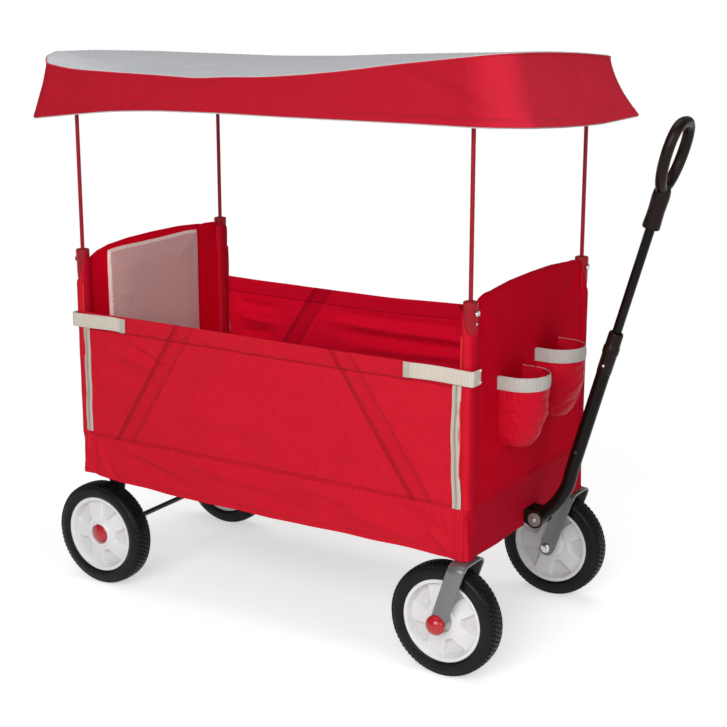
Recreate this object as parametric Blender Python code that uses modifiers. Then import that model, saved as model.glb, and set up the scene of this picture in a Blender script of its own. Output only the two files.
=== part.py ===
"""Folding wagon with a lift-off canopy, a fold-down side, swivel casters and a telescopic pull handle.

Metres, +Z up, ground at z = 0. +X is the front (handle) end and -Y the side with the zips.
All pieces are made in the wagon's own frame, whose x = 0 is midway between the corner posts.
The empty "wagon" then slides them along X, so the whole wagon's box is centred on the origin.
"""
import math

import bmesh
import bpy
from mathutils import Matrix, Vector

# Driving sizes, from eight inch wheels
TYRE_R = 0.1016
TYRE_W = 0.0425
RIM_R = 0.0736
AXLE_R = 0.005
GAP = 0.0003

# Corner posts and tub
POST_X = 0.409
POST_Y = 0.2118
POST_R = 0.0095
POST_FOOT = 0.2165
POST_TOP = 0.6225
SIDE_Y = 0.2278
SEAM_Z = 0.3045
HEM_Z = 0.2175
SIDE_TOP = 0.544
END_CROWN = 0.668
END_INNER = 0.4065
END_OUTER = 0.4175
REAR_ARCH_DROP = 0.006
ROLL_R = 0.0135
SOCKET_R = 0.0125
SOCKET_LOW = 0.600
SOCKET_TOP = 0.655

# Fold linkage: three hinge rods at one height, two base frames of equal length
PIVOT_X = 0.365
PIVOT_Z = 0.268
RAIL_H = 0.025
RAIL_W = 0.012
REAR_RAIL_Y = 0.160
FRONT_RAIL_Y = 0.1745
ROD_R = 0.004
BOARD_LOW = 0.2812
BOARD_TOP = 0.2930
BOARD_START = 0.335

# Wheels and casters
REAR_AXLE_X = -0.3919
REAR_WHEEL_Y = 0.2009
TRAIL = 0.0364
FORK_TOP = 0.2135
FORK_HALF = 0.035
FORK_STRIP = 0.004
FORK_WIDTH = 0.033
STEM_R = 0.006

# Canopy
POLE_R = 0.0037
POLE_FOOT = 0.6235
ROOF_X = (-0.456, 0.478)
ROOF_HALF = 0.237
CLOTH = 0.0025

# Handle
PIN_X = 0.4402
PIN_Z = 0.2308
HANDLE_FOOT = (0.500, 0.3287)
HANDLE_SLOPE = 0.285
TUBE_R = 0.0115
INNER_R = 0.008
LOOP_R = 0.010
COLLAR_Z = 0.548
GRIP_Z = 0.755
LOOP_STEPS = 20
HANDLE_TOP = 0.945

# The box runs from the back of the rear tyres to the tip of the handle
BOX_BACK = REAR_AXLE_X - TYRE_R
BOX_FRONT = HANDLE_FOOT[0] + HANDLE_SLOPE * (HANDLE_TOP - LOOP_R - HANDLE_FOOT[1]) + LOOP_R
WAGON_X = -(BOX_BACK + BOX_FRONT) / 2

RED = (0.62, 0.012, 0.022)
DARK_RED = (0.34, 0.008, 0.02)
WHITE = (0.86, 0.86, 0.87)
BLACK = (0.016, 0.016, 0.018)
GREY_STEEL = (0.30, 0.31, 0.32)
BROWN_BLACK = (0.022, 0.016, 0.015)
BEIGE = (0.62, 0.57, 0.50)
TAUPE = (0.36, 0.21, 0.19)
SILVER = (0.62, 0.62, 0.62)


# Scene, collections and materials

def clear_scene():
    for obj in list(bpy.data.objects):
        bpy.data.objects.remove(obj)


def collection(name):
    made = bpy.data.collections.new(name)
    bpy.context.scene.collection.children.link(made)
    return made


clear_scene()
PARTS = collection("folding_wagon")
CUTTERS = collection("cutters")
WAGON = bpy.data.objects.new("wagon", None)
WAGON.location = (WAGON_X, 0, 0)
PARTS.objects.link(WAGON)


def material(name, colour, roughness, metallic=0.0):
    mat = bpy.data.materials.new(name)
    mat.use_nodes = True
    shader = mat.node_tree.nodes["Principled BSDF"]
    shader.inputs["Base Color"].default_value = (*colour, 1)
    shader.inputs["Roughness"].default_value = roughness
    shader.inputs["Metallic"].default_value = metallic
    return mat


FINISH = {
    "cloth": (RED, 0.8, 0.0),
    "pad": (TAUPE, 0.75, 0.0),
    "webbing": (BEIGE, 0.8, 0.0),
    "red_plastic": (RED, 0.35, 0.0),
    "red_steel": (DARK_RED, 0.35, 0.6),
    "steel": (GREY_STEEL, 0.4, 0.8),
    "dark_steel": (BLACK, 0.45, 0.6),
    "bright_steel": (SILVER, 0.25, 1.0),
    "tyre": (BLACK, 0.85, 0.0),
    "white_plastic": (WHITE, 0.4, 0.0),
    "handle_steel": (BROWN_BLACK, 0.4, 0.5),
    "handle_plastic": (BROWN_BLACK, 0.45, 0.0),
    "board": (BLACK, 0.85, 0.0),
    "canopy_cloth": (RED, 0.8, 0.0),
}


# Shared makers. Each returns an object in the wagon's frame, not yet a named part.

def new_object(name, mesh):
    obj = bpy.data.objects.new(name, mesh)
    CUTTERS.objects.link(obj)
    obj.parent = WAGON
    return obj


def from_bmesh(name, bm):
    mesh = bpy.data.meshes.new(name)
    bm.to_mesh(mesh)
    bm.free()
    return new_object(name, mesh)


def evaluated_mesh(obj):
    """The object with its modifiers applied, as a new mesh with welded caps."""
    bpy.context.view_layer.update()
    depsgraph = bpy.context.evaluated_depsgraph_get()
    mesh = bpy.data.meshes.new_from_object(obj.evaluated_get(depsgraph))
    bm = bmesh.new()
    bm.from_mesh(mesh)
    bmesh.ops.remove_doubles(bm, verts=bm.verts, dist=0.00002)
    bm.to_mesh(mesh)
    bm.free()
    return mesh


def frozen(obj):
    """Swap a curve, or an object with modifiers, for its plain mesh at the same place."""
    solid = bpy.data.objects.new(obj.name + "_solid", evaluated_mesh(obj))
    solid.matrix_basis = obj.matrix_basis.copy()
    solid.parent = obj.parent
    CUTTERS.objects.link(solid)
    bpy.data.objects.remove(obj)
    return solid


def block(low, high):
    """A box between two corners."""
    bm = bmesh.new()
    bmesh.ops.create_cube(bm, size=1)
    size = [b - a for a, b in zip(low, high)]
    middle = [(a + b) / 2 for a, b in zip(low, high)]
    bmesh.ops.scale(bm, vec=size, verts=bm.verts)
    bmesh.ops.translate(bm, vec=middle, verts=bm.verts)
    return from_bmesh("block", bm)


def rod(start, end, radius, sides=16, end_radius=None):
    """A round bar, or a cone, between two points."""
    start, end = Vector(start), Vector(end)
    along = end - start
    bm = bmesh.new()
    bmesh.ops.create_cone(bm, cap_ends=True, segments=sides, radius1=radius,
                          radius2=radius if end_radius is None else end_radius,
                          depth=along.length)
    turn = Vector((0, 0, 1)).rotation_difference(along).to_matrix().to_4x4()
    bmesh.ops.transform(bm, matrix=Matrix.Translation((start + end) / 2) @ turn, verts=bm.verts)
    return from_bmesh("rod", bm)


def add_boolean(obj, other, operation):
    step = obj.modifiers.new(operation.lower(), "BOOLEAN")
    step.operation = operation
    step.object = other
    step.solver = "EXACT"
    other.hide_render = True
    other.display_type = "WIRE"
    other.hide_viewport = False


def joined(obj, *others):
    for other in others:
        add_boolean(obj, other, "UNION")
    return obj


def cut(obj, *cutters):
    for cutter in cutters:
        add_boolean(obj, cutter, "DIFFERENCE")
    return obj


def bevelled(obj, width, segments=1, angle=40):
    bevel = obj.modifiers.new("edges", "BEVEL")
    bevel.width = width
    bevel.segments = segments
    bevel.limit_method = "ANGLE"
    bevel.angle_limit = math.radians(angle)
    return obj


def turned(profile, steps, closed=False):
    """Turn a profile of (radius, height) points about Z. It runs down its outer side."""
    mesh = bpy.data.meshes.new("profile")
    points = [(r, 0, h) for r, h in profile]
    edges = [(i, i + 1) for i in range(len(points) - 1)]
    if closed:
        edges.append((len(points) - 1, 0))
    mesh.from_pydata(points, edges, [])
    obj = new_object("turned", mesh)
    screw = obj.modifiers.new("turn", "SCREW")
    screw.axis = "Z"
    screw.steps = steps
    screw.render_steps = steps
    screw.use_merge_vertices = True
    screw.merge_threshold = 0.00001
    screw.use_smooth_shade = True
    return obj


def along_y(obj, place, flip=False):
    """Lay a turned piece's axis along Y. Its top faces -Y, or +Y when flipped."""
    turn = Matrix.Rotation(math.radians(-90 if flip else 90), 4, "X")
    obj.matrix_basis = Matrix.Translation(place) @ turn
    return obj


def tube(points, radius, cyclic=False, resolution=3, smooth=True):
    """A bent tube through points, as a curve with filled ends."""
    data = bpy.data.curves.new("tube", "CURVE")
    data.dimensions = "3D"
    data.bevel_depth = radius
    data.bevel_resolution = resolution
    data.use_fill_caps = True
    line = data.splines.new("POLY")
    line.points.add(len(points) - 1)
    for target, point in zip(line.points, points):
        target.co = (*point, 1)
    line.use_cyclic_u = cyclic
    line.use_smooth = smooth
    return frozen(new_object("tube", data))


def plate(outline, thickness, plane="XZ", at=0.0):
    """A flat plate from a closed outline. XZ plates stand at y = at, XY plates lie at z = at."""
    data = bpy.data.curves.new("outline", "CURVE")
    data.dimensions = "2D"
    data.fill_mode = "BOTH"
    data.extrude = thickness / 2
    line = data.splines.new("POLY")
    line.points.add(len(outline) - 1)
    for target, (a, b) in zip(line.points, outline):
        target.co = (a, b, 0, 1)
    line.use_cyclic_u = True
    obj = new_object("plate", data)
    if plane == "XZ":
        obj.matrix_basis = Matrix.Translation((0, at, 0)) @ Matrix.Rotation(math.radians(90), 4, "X")
    elif plane == "YZ":
        obj.matrix_basis = (Matrix.Translation((at, 0, 0)) @ Matrix.Rotation(math.radians(90), 4, "Z")
                            @ Matrix.Rotation(math.radians(90), 4, "X"))
    else:
        obj.matrix_basis = Matrix.Translation((0, 0, at))
    return frozen(obj)


def arc(centre, radius, start, end, count):
    """Points on an arc in a plane, angles in degrees."""
    points = []
    for i in range(count + 1):
        angle = math.radians(start + (end - start) * i / count)
        points.append((centre[0] + radius * math.cos(angle), centre[1] + radius * math.sin(angle)))
    return points


def smooth_path(points, per_span=6):
    """Catmull-Rom points through a few hand-set ones."""
    pts = [Vector(p) for p in points]
    pts = [pts[0] * 2 - pts[1]] + pts + [pts[-1] * 2 - pts[-2]]
    path = []
    for i in range(1, len(pts) - 2):
        a, b, c, d = pts[i - 1:i + 3]
        for k in range(per_span):
            t = k / per_span
            path.append(0.5 * ((2 * b) + (c - a) * t + (2 * a - 5 * b + 4 * c - d) * t * t
                               + (3 * b - a - 3 * c + d) * t ** 3))
    path.append(pts[-2])
    return path


def ramp(x, start, end):
    """An eased rise from 0 to 1 between two values."""
    t = min(1.0, max(0.0, (x - start) / (end - start)))
    return t * t * (3 - 2 * t)


def cloth(rows, thickness, closed_ring=False, offset=-1.0):
    """A cloth solid: an open surface through rows of points, given its thickness by Solidify."""
    bm = bmesh.new()
    grid = [[bm.verts.new(p) for p in row] for row in rows]
    for lower, upper in zip(grid, grid[1:]):
        count = len(lower)
        last = count if closed_ring else count - 1
        for i in range(last):
            j = (i + 1) % count
            bm.faces.new((lower[i], lower[j], upper[j], upper[i]))
    obj = from_bmesh("cloth", bm)
    return thickened(obj, thickness, offset)


def thickened(obj, thickness, offset=-1.0):
    solid = obj.modifiers.new("thickness", "SOLIDIFY")
    solid.thickness = thickness
    solid.offset = offset
    solid.use_even_offset = True
    solid.use_quality_normals = True
    return obj


def part(obj, name, finish, origin=None, soft_angle=40):
    """Make an object a named part: its own material, smooth shading, its origin on its axis."""
    mesh = evaluated_mesh(obj) if obj.modifiers else obj.data
    mesh.transform(obj.matrix_basis)
    made = bpy.data.objects.new(name, mesh)
    mesh.name = name
    if origin is not None:
        mesh.transform(Matrix.Translation(-Vector(origin)))
        made.location = origin
    made.parent = WAGON
    PARTS.objects.link(made)
    colour, roughness, metallic = FINISH[finish]
    mesh.materials.clear()
    mesh.materials.append(material(name, colour, roughness, metallic))
    mesh.shade_smooth()
    mesh.set_sharp_from_angle(angle=math.radians(soft_angle))
    bpy.data.objects.remove(obj)
    for helper in list(CUTTERS.objects):
        bpy.data.objects.remove(helper)
    return made


def copy_of(source, name, location, turn_z=0.0):
    """A repeated part that shares its mesh with the first one."""
    made = bpy.data.objects.new(name, source.data)
    made.location = location
    made.rotation_euler = (0, 0, turn_z)
    made.parent = WAGON
    PARTS.objects.link(made)
    return made


# Wheels

TREAD_STEPS = 32


def tyre_solid():
    """An eight inch tyre whose tread is three columns of staggered blocks."""
    half = TYRE_W / 2
    groove = 0.0024
    seat = RIM_R + 0.0009
    section = [
        (seat, half - 0.0030, 0), (0.0840, half, 0), (0.0950, half - 0.0024, 0),
        (0.1004, 0.0085, 1), (TYRE_R, 0.0050, 2), (TYRE_R, -0.0050, 2),
        (0.1004, -0.0085, 1), (0.0950, 0.0024 - half, 0), (0.0840, -half, 0), (seat, 0.0030 - half, 0),
    ]
    bm = bmesh.new()
    rings = []
    for step in range(TREAD_STEPS):
        angle = 2 * math.pi * (step + 0.25 * (step % 2)) / TREAD_STEPS
        ring = []
        for radius, across, column in section:
            sunk = (column == 1 and step % 4 < 2) or (column == 2 and step % 4 >= 2)
            r = radius - groove if sunk else radius
            ring.append(bm.verts.new((r * math.cos(angle), across, r * math.sin(angle))))
        rings.append(ring)
    for step, ring in enumerate(rings):
        following = rings[(step + 1) % TREAD_STEPS]
        for i in range(len(ring)):
            j = (i + 1) % len(ring)
            bm.faces.new((ring[i], ring[j], following[j], following[i]))
    bmesh.ops.recalc_face_normals(bm, faces=bm.faces)
    return from_bmesh("tyre", bm)


POCKETS = 5
RIM_STEPS = 18


def pocket_cutters(face, floor):
    """Five tapered pockets between the spokes, from the wheel's face in to the floor."""
    bm = bmesh.new()
    for k in range(POCKETS):
        middle = 2 * math.pi * (k + 0.5) / POCKETS
        rings = []
        for depth, inner, outer, spread in ((floor, 0.031, 0.0585, 0.34), (face, 0.026, 0.0640, 0.44)):
            ring = []
            for radius, side in ((inner, -0.55), (outer, -1), (outer, 0), (outer, 1), (inner, 0.55)):
                angle = middle + side * spread
                ring.append(bm.verts.new((radius * math.cos(angle), radius * math.sin(angle), depth)))
            rings.append(ring)
        low, high = rings
        bm.faces.new(low)
        bm.faces.new(high)
        for i in range(len(low)):
            j = (i + 1) % len(low)
            bm.faces.new((low[i], low[j], high[j], high[i]))
    bmesh.ops.recalc_face_normals(bm, faces=bm.faces)
    return from_bmesh("pockets", bm)


def rim_solid():
    """A moulded wheel: hub, cup for the cap, coned web with five spokes, seat for the tyre."""
    bore = AXLE_R + 0.0004
    profile = [
        (bore, 0.0110), (0.0168, 0.0110), (0.0168, 0.0185), (0.0205, 0.0185), (0.0245, 0.0160),
        (0.0655, 0.0085), (0.0672, 0.0168), (RIM_R, 0.0180), (RIM_R, -0.0180), (0.0672, -0.0168),
        (0.0655, -0.0085), (0.0245, -0.0120), (0.0190, -0.0155), (bore, -0.0155),
    ]
    body = turned(profile, RIM_STEPS, closed=True)
    cut(body, pocket_cutters(0.0190, 0.0015))
    return frozen(body)


def outer_side(mesh_object):
    """Turn a wheel piece's outer face (+Z as made) to -Y."""
    mesh_object.matrix_basis = Matrix.Rotation(math.radians(90), 4, "X")
    return mesh_object


WHEEL_PLACES = {
    "rear_near": (REAR_AXLE_X, -REAR_WHEEL_Y, TYRE_R),
    "rear_far": (REAR_AXLE_X, REAR_WHEEL_Y, TYRE_R),
    "front_near": (POST_X - TRAIL, -POST_Y, TYRE_R),
    "front_far": (POST_X - TRAIL, POST_Y, TYRE_R),
}


def wheels():
    tyre = part(tyre_solid(), "rear_near_tyre", "tyre")
    rim = part(outer_side(rim_solid()), "rear_near_wheel", "white_plastic")
    for key, place in WHEEL_PLACES.items():
        turn = math.pi if key.endswith("far") else 0.0
        if key == "rear_near":
            tyre.location = place
            rim.location = place
            continue
        copy_of(tyre, key + "_tyre", place, turn)
        copy_of(rim, key + "_wheel", place, turn)


def rear_axle():
    reach = REAR_WHEEL_Y + 0.0108
    bar = rod((REAR_AXLE_X, -reach, TYRE_R), (REAR_AXLE_X, reach, TYRE_R), AXLE_R, 16)
    for side in (-1, 1):
        inner = side * (REAR_WHEEL_Y - 0.0160)
        outer = side * 0.1722
        joined(bar, rod((REAR_AXLE_X, inner, TYRE_R), (REAR_AXLE_X, outer, TYRE_R), 0.0088, 16))
    part(bar, "rear_axle", "dark_steel")
    for key, side in (("near", -1), ("far", 1)):
        dome = turned([(0, 0.0088), (0.006, 0.0082), (0.0115, 0.0060), (0.0152, 0.0022), (0.0160, 0.0),
                       (0.0, 0.0)], 14)
        along_y(dome, (REAR_AXLE_X, side * (REAR_WHEEL_Y + 0.0113), TYRE_R), flip=side > 0)
        part(dome, f"rear_hub_cap_{key}", "red_plastic")


# Casters

def fork_strip():
    """One steel strip bent into a U over the wheel, with its legs raked back to the axle."""
    crown = FORK_TOP - FORK_STRIP / 2
    half = FORK_HALF
    bend = 0.014
    eye = 0.0150
    side = [(-half, z) for z in (TYRE_R - eye, TYRE_R - 0.0105, TYRE_R - 0.004, TYRE_R + 0.03, 0.165)]
    corner = arc((-half + bend, crown - bend), bend, 180, 90, 3)
    path = side + corner
    path += [(-y, z) for y, z in reversed(path)]
    rows = []
    rake = TRAIL / (crown - TYRE_R)
    for y, z in path:
        middle = -rake * (crown - z)
        below = max(0.0, TYRE_R - z)
        width = FORK_WIDTH / 2
        if below > 0:
            width *= math.sqrt(max(0.04, 1 - (below / (eye + 0.0005)) ** 2))
        row = []
        for share in (-1, 1):
            row.append((middle + share * width, y, z))
        rows.append(row)
    return cloth(rows, FORK_STRIP, offset=0.0)


def casters():
    for key, side in (("near", -1), ("far", 1)):
        axis = (POST_X, side * POST_Y, 0)
        fork = frozen(fork_strip())
        stem = rod((0, 0, FORK_TOP - 0.003), (0, 0, 0.2555), STEM_R, 12)
        washer = rod((0, 0, FORK_TOP - 0.002), (0, 0, POST_FOOT - 0.0006), 0.0105, 14)
        hole = rod((-TRAIL, -0.06, TYRE_R), (-TRAIL, 0.06, TYRE_R), AXLE_R + GAP, 12)
        joined(fork, stem, washer)
        cut(fork, hole)
        made = part(fork, f"caster_fork_{key}", "steel")
        made.location = axis

        centre = (POST_X - TRAIL, side * POST_Y, TYRE_R)
        hub = 0.0160
        inner_face = FORK_HALF - FORK_STRIP / 2 - GAP
        outer_face = FORK_HALF + FORK_STRIP / 2 + GAP
        bolt = turned([
            (0, outer_face + 0.0035), (AXLE_R, outer_face + 0.003), (AXLE_R, inner_face),
            (0.0085, inner_face), (0.0085, 0.0114), (AXLE_R, 0.0114), (AXLE_R, -hub),
            (0.0085, -hub), (0.0085, -inner_face), (AXLE_R, -inner_face), (AXLE_R, -outer_face),
            (0.0090, -outer_face), (0.0090, -outer_face - 0.0035), (0.0070, -outer_face - 0.005),
            (0, -outer_face - 0.0052),
        ], 10)
        along_y(bolt, centre, flip=side > 0)
        part(bolt, f"caster_axle_{key}", "bright_steel", origin=centre)

        cap = turned([
            (0, 0.0135), (0.006, 0.0128), (0.011, 0.0103), (0.0148, 0.0062), (0.0165, 0.0012),
            (0.0165, 0.0), (AXLE_R + GAP, 0.0), (AXLE_R + GAP, 0.0042), (0, 0.0044),
        ], 14)
        along_y(cap, (centre[0], centre[1] + side * outer_face, centre[2]), flip=side > 0)
        part(cap, f"caster_cap_{key}", "red_plastic", origin=centre)


# End frames

CROSS_TUBES = ((0.245, POST_R), (0.462, 0.004), (0.590, 0.004))
CROSS_X = 0.412
PLATE_T = 0.004
REAR_PLATE_Y = 0.1695
FRONT_PLATE_Y = 0.1840


def link_plate(sign, y):
    """A plate on the bottom cross tube that carries the hinge rod of the base."""
    nose = arc((PIVOT_X, PIVOT_Z), 0.012, 70, 250, 5)
    heel = [(POST_X - 0.004, 0.236), (POST_X + 0.004, 0.240), (POST_X + 0.004, 0.252), (POST_X - 0.004, 0.262)]
    outline = [(sign * x, z) for x, z in nose + heel]
    return plate(outline, PLATE_T, at=y)


def axle_leg(y):
    """A leg that drops from the rear bottom tube to the axle, with a round eye."""
    eye = arc((REAR_AXLE_X, TYRE_R), 0.0145, 170, 370, 6)
    outline = [(-0.4185, 0.250), (-0.4150, 0.232), (-0.4010, 0.195)]
    outline += eye
    outline += [(-0.3660, 0.190), (-0.3560, 0.240), (-0.3560, 0.256)]
    return plate(outline, PLATE_T, at=y)


def end_frame(sign):
    """Two corner posts, three cross tubes and the plates that carry the base and the axle."""
    x = sign * POST_X
    first = rod((x, -POST_Y, POST_FOOT), (x, -POST_Y, POST_TOP), POST_R, 12)
    second = rod((x, POST_Y, POST_FOOT), (x, POST_Y, POST_TOP), POST_R, 12)
    frame = joined(first, second)
    for height, radius in CROSS_TUBES:
        cx = sign * (POST_X if radius == POST_R else CROSS_X)
        joined(frame, rod((cx, -POST_Y, height), (cx, POST_Y, height), radius, 8))
    plate_y = REAR_PLATE_Y if sign < 0 else FRONT_PLATE_Y
    for side in (-1, 1):
        joined(frame, link_plate(sign, side * plate_y))
        if sign < 0:
            joined(frame, axle_leg(side * plate_y))
    cut(frame, rod((sign * PIVOT_X, -0.2, PIVOT_Z), (sign * PIVOT_X, 0.2, PIVOT_Z), ROD_R + GAP, 10))
    if sign < 0:
        cut(frame, rod((REAR_AXLE_X, -0.2, TYRE_R), (REAR_AXLE_X, 0.2, TYRE_R), AXLE_R + GAP, 10))
    else:
        for side in (-1, 1):
            cut(frame, rod((x, side * POST_Y, 0.20), (x, side * POST_Y, 0.257), STEM_R + 0.0005, 12))
    name = "rear_end_frame" if sign < 0 else "front_end_frame"
    part(frame, name, "dark_steel")


def end_panel(sign):
    """A padded wall with an arched top, rolled round both posts, hollow where the tubes run."""
    low = SEAM_Z + 0.0015
    half = [
        (POST_Y + 0.004, low), (POST_Y + 0.004, 0.6020), (POST_Y + 0.0015, 0.6200), (0.2040, 0.6360),
        (0.1880, 0.6470), (0.1660, 0.6560), (0.1350, 0.6625), (0.0780, 0.6668), (0.0, END_CROWN),
    ]
    if sign < 0:
        half = [(y, z - REAR_ARCH_DROP * ramp(z, 0.630, 0.655)) for y, z in half]
    outline = half + [(-y, z) for y, z in reversed(half[:-1])]
    middle = sign * (END_INNER + END_OUTER) / 2
    wall = plate(outline, END_OUTER - END_INNER, plane="YZ", at=middle)
    x = sign * POST_X
    for side in (-1, 1):
        y = side * POST_Y
        joined(wall, rod((x, y, low), (x, y, SOCKET_LOW - 0.0008), ROLL_R, 14))
    for side in (-1, 1):
        y = side * POST_Y
        cut(wall, rod((x, y, 0.29), (x, y, SOCKET_TOP), POST_R + GAP, 12))
        cut(wall, rod((x, y, SOCKET_LOW - 0.0004), (x, y, SOCKET_TOP + 0.01), SOCKET_R + 0.0006, 12))
    for height, radius in CROSS_TUBES[1:]:
        cx = sign * CROSS_X
        cut(wall, rod((cx, -POST_Y, height), (cx, POST_Y, height), radius + 0.0006, 8))
    part(wall, "rear_end_panel" if sign < 0 else "front_end_panel", "cloth")


def seat_pad(sign):
    """A thin back rest on the inner face of an end wall, crowned in the middle."""
    face = END_INNER - GAP
    width, low, high, depth = 0.138, 0.322, 0.650, 0.0085
    middle = -0.010 if sign < 0 else 0.0
    rows = []
    for i in range(7):
        v = (0, 0.05, 0.15, 0.5, 0.85, 0.95, 1)[i]
        z = low + (high - low) * v
        row = []
        for j in range(7):
            u = (0, 0.05, 0.15, 0.5, 0.85, 0.95, 1)[j]
            y = middle + (-width + 2 * width * u) * (1 - 0.012 * math.sin(math.pi * v))
            edge = min(u, 1 - u) * 2 * width
            rise = min(edge, min(v, 1 - v) * (high - low))
            puff = depth * (0.42 + 0.58 * min(1.0, rise / 0.02) ** 0.5)
            row.append((sign * (face - puff), y, z))
        rows.append(row)
    bm = bmesh.new()
    front = [[bm.verts.new(p) for p in row] for row in rows]
    back = [[bm.verts.new((sign * face, p[1], p[2])) for p in row] for row in rows]
    for layer in (front, back):
        for lower, upper in zip(layer, layer[1:]):
            for i in range(len(lower) - 1):
                bm.faces.new((lower[i], lower[i + 1], upper[i + 1], upper[i]))

    def rim(layer):
        top = layer[-1][::-1]
        left = [row[0] for row in reversed(layer)]
        right = [row[-1] for row in layer]
        return layer[0][:-1] + right[:-1] + top[:-1] + left[:-1]
    outer, inner = rim(front), rim(back)
    for i in range(len(outer)):
        j = (i + 1) % len(outer)
        bm.faces.new((outer[i], outer[j], inner[j], inner[i]))
    bmesh.ops.recalc_face_normals(bm, faces=bm.faces)
    part(from_bmesh("pad", bm), "rear_seat_pad" if sign < 0 else "front_seat_pad", "pad")


def end_skirt(sign):
    """The cloth below an end wall, turned round both corners, with a soft wave at its hem."""
    face = 0.4203
    side_y = SIDE_Y - 0.001
    radius = 0.014
    plan = [(0.3925, -side_y)]
    plan += arc((face - radius, -side_y + radius), radius, -90, 0, 3)
    plan += [(face, y) for y in (-0.15, -0.10, -0.05, 0.0, 0.05, 0.10, 0.15)]
    plan += arc((face - radius, side_y - radius), radius, 0, 90, 3)
    plan += [(0.3925, side_y)]
    rows = []
    top = SEAM_Z - 0.0005
    for i in range(4):
        v = i / 3
        z = top + (HEM_Z - top) * v
        row = []
        for k, (x, y) in enumerate(plan):
            flat = abs(y) < 0.19
            wave = 0.0022 * v * math.sin(y * 42 + 0.6) if flat else 0.0
            row.append((sign * (x + max(-0.0001, wave)), y, z))
        rows.append(row)
    skirt = cloth(rows, 0.002, offset=0.0)
    if sign > 0:
        skirt = frozen(skirt)
        cut(skirt, block((0.36, -0.030, 0.19), (0.44, 0.030, 0.271)))
    part(skirt, "rear_end_skirt" if sign < 0 else "front_end_skirt", "cloth")


def socket(sign, side):
    """A moulded cup on the post's top that holds a canopy pole, with a seat for the button."""
    base = SOCKET_LOW
    bore = POLE_R + 0.0006
    profile = [
        (bore, SOCKET_TOP), (0.0108, SOCKET_TOP), (SOCKET_R, SOCKET_TOP - 0.0018), (SOCKET_R, base + 0.012),
        (0.0113, base), (POST_R + GAP, base), (POST_R + GAP, POST_TOP + GAP), (bore, POST_TOP + GAP),
    ]
    body = frozen(turned(profile, 12, closed=True))
    body.matrix_basis = Matrix.Translation((sign * POST_X, side * POST_Y, 0))
    place = (sign * POST_X, side * POST_Y, 0.6360)
    hole = oval_bar(place, sign, 0.0, 0.02, 0.0052, 0.0040)
    cut(body, hole)
    rivet = rod((sign * (POST_X + 0.0105), place[1], 0.6185), (sign * (POST_X + 0.0137), place[1], 0.6185), 0.0022, 6)
    joined(body, rivet)
    ends = ("rear" if sign < 0 else "front", "near" if side < 0 else "far")
    part(body, "{}_socket_{}".format(*ends), "red_plastic")
    button = oval_bar(place, sign, 0.0066, 0.0148, 0.0048, 0.0036)
    part(button, "{}_button_{}".format(*ends), "bright_steel", origin=place)


def oval_bar(place, sign, start, end, half_width, half_height):
    """A bar of oval section along X, from start to end outwards from the post's axis."""
    round_part = half_width - half_height
    right = arc((round_part, 0), half_height, -90, 90, 4)
    left = arc((-round_part, 0), half_height, 90, 270, 4)
    outline = [(y + place[1], z + place[2]) for y, z in right + left]
    middle = place[0] + sign * (start + end) / 2
    return plate(outline, end - start, plane="YZ", at=middle)


# Base

def base_rail(x_from, x_to, y):
    """A flat steel rail with round ends about its two pivots."""
    outline = arc((x_to, PIVOT_Z), RAIL_H / 2, -90, 90, 4) + arc((x_from, PIVOT_Z), RAIL_H / 2, 90, 270, 4)
    return plate(outline, RAIL_W, at=y)


def base_half(sign):
    """Half of the folding base: two rails, two cross tubes, holes at both ends."""
    y = REAR_RAIL_Y if sign < 0 else FRONT_RAIL_Y
    near_x, far_x = sorted((sign * PIVOT_X, 0.0))
    frame = base_rail(near_x, far_x, -y)
    joined(frame, base_rail(near_x, far_x, y))
    for x in (sign * 0.318, sign * 0.045):
        joined(frame, rod((x, -y, PIVOT_Z), (x, y, PIVOT_Z), 0.009, 8))
    for x in (near_x, far_x):
        cut(frame, rod((x, -0.2, PIVOT_Z), (x, 0.2, PIVOT_Z), ROD_R + GAP, 10))
    hinge = (-PIVOT_X, 0, PIVOT_Z) if sign < 0 else (0, 0, PIVOT_Z)
    part(frame, "base_rear_frame" if sign < 0 else "base_front_frame", "dark_steel", origin=hinge)

    x0, x1 = sorted((sign * BOARD_START, sign * 0.003))
    board = block((x0, -0.200, BOARD_LOW), (x1, 0.200, BOARD_TOP))
    bevelled(board, 0.002, 1)
    part(board, "floor_board_rear" if sign < 0 else "floor_board_front", "board", origin=hinge)


def hinge_rods():
    """Through rods: one at each end of the base and one in the middle."""
    reach = {"rear_hinge_rod": (-PIVOT_X, REAR_PLATE_Y), "centre_hinge_rod": (0.0, FRONT_RAIL_Y + 0.004),
             "front_hinge_rod": (PIVOT_X, FRONT_PLATE_Y)}
    for name, (x, y) in reach.items():
        end = y + PLATE_T / 2 + GAP
        bar = turned([(0, end + 0.003), (0.0065, end + 0.003), (0.0065, end), (ROD_R, end), (ROD_R, -end),
                      (0.0065, -end), (0.0065, -end - 0.003), (0, -end - 0.003)], 12)
        along_y(bar, (x, 0, PIVOT_Z))
        part(bar, name, "bright_steel", origin=(x, 0, PIVOT_Z))


def pull_strap():
    """A loop of webbing on the rear board beside the middle, pulled up to fold the wagon."""
    sewn = BOARD_TOP + 0.0013
    path = [(-0.150, sewn), (-0.128, sewn), (-0.112, sewn + 0.002), (-0.085, sewn + 0.018),
            (-0.055, sewn + 0.018), (-0.030, sewn + 0.002), (-0.016, sewn), (-0.007, sewn)]
    line = smooth_path([(x, 0, z) for x, z in path], 3)
    rows = [[(p.x, -0.014, max(sewn, p.z)), (p.x, 0.014, max(sewn, p.z))] for p in line]
    part(cloth(rows, 0.0018, offset=0.0), "fold_pull_strap", "webbing", origin=(-PIVOT_X, 0, PIVOT_Z))


# Long sides

BAND_TOP = (-0.162, 0.168)
BAND_FOOT = (-0.312, 0.332)
BAND_W = 0.040
HEM_BAND = 0.030


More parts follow.
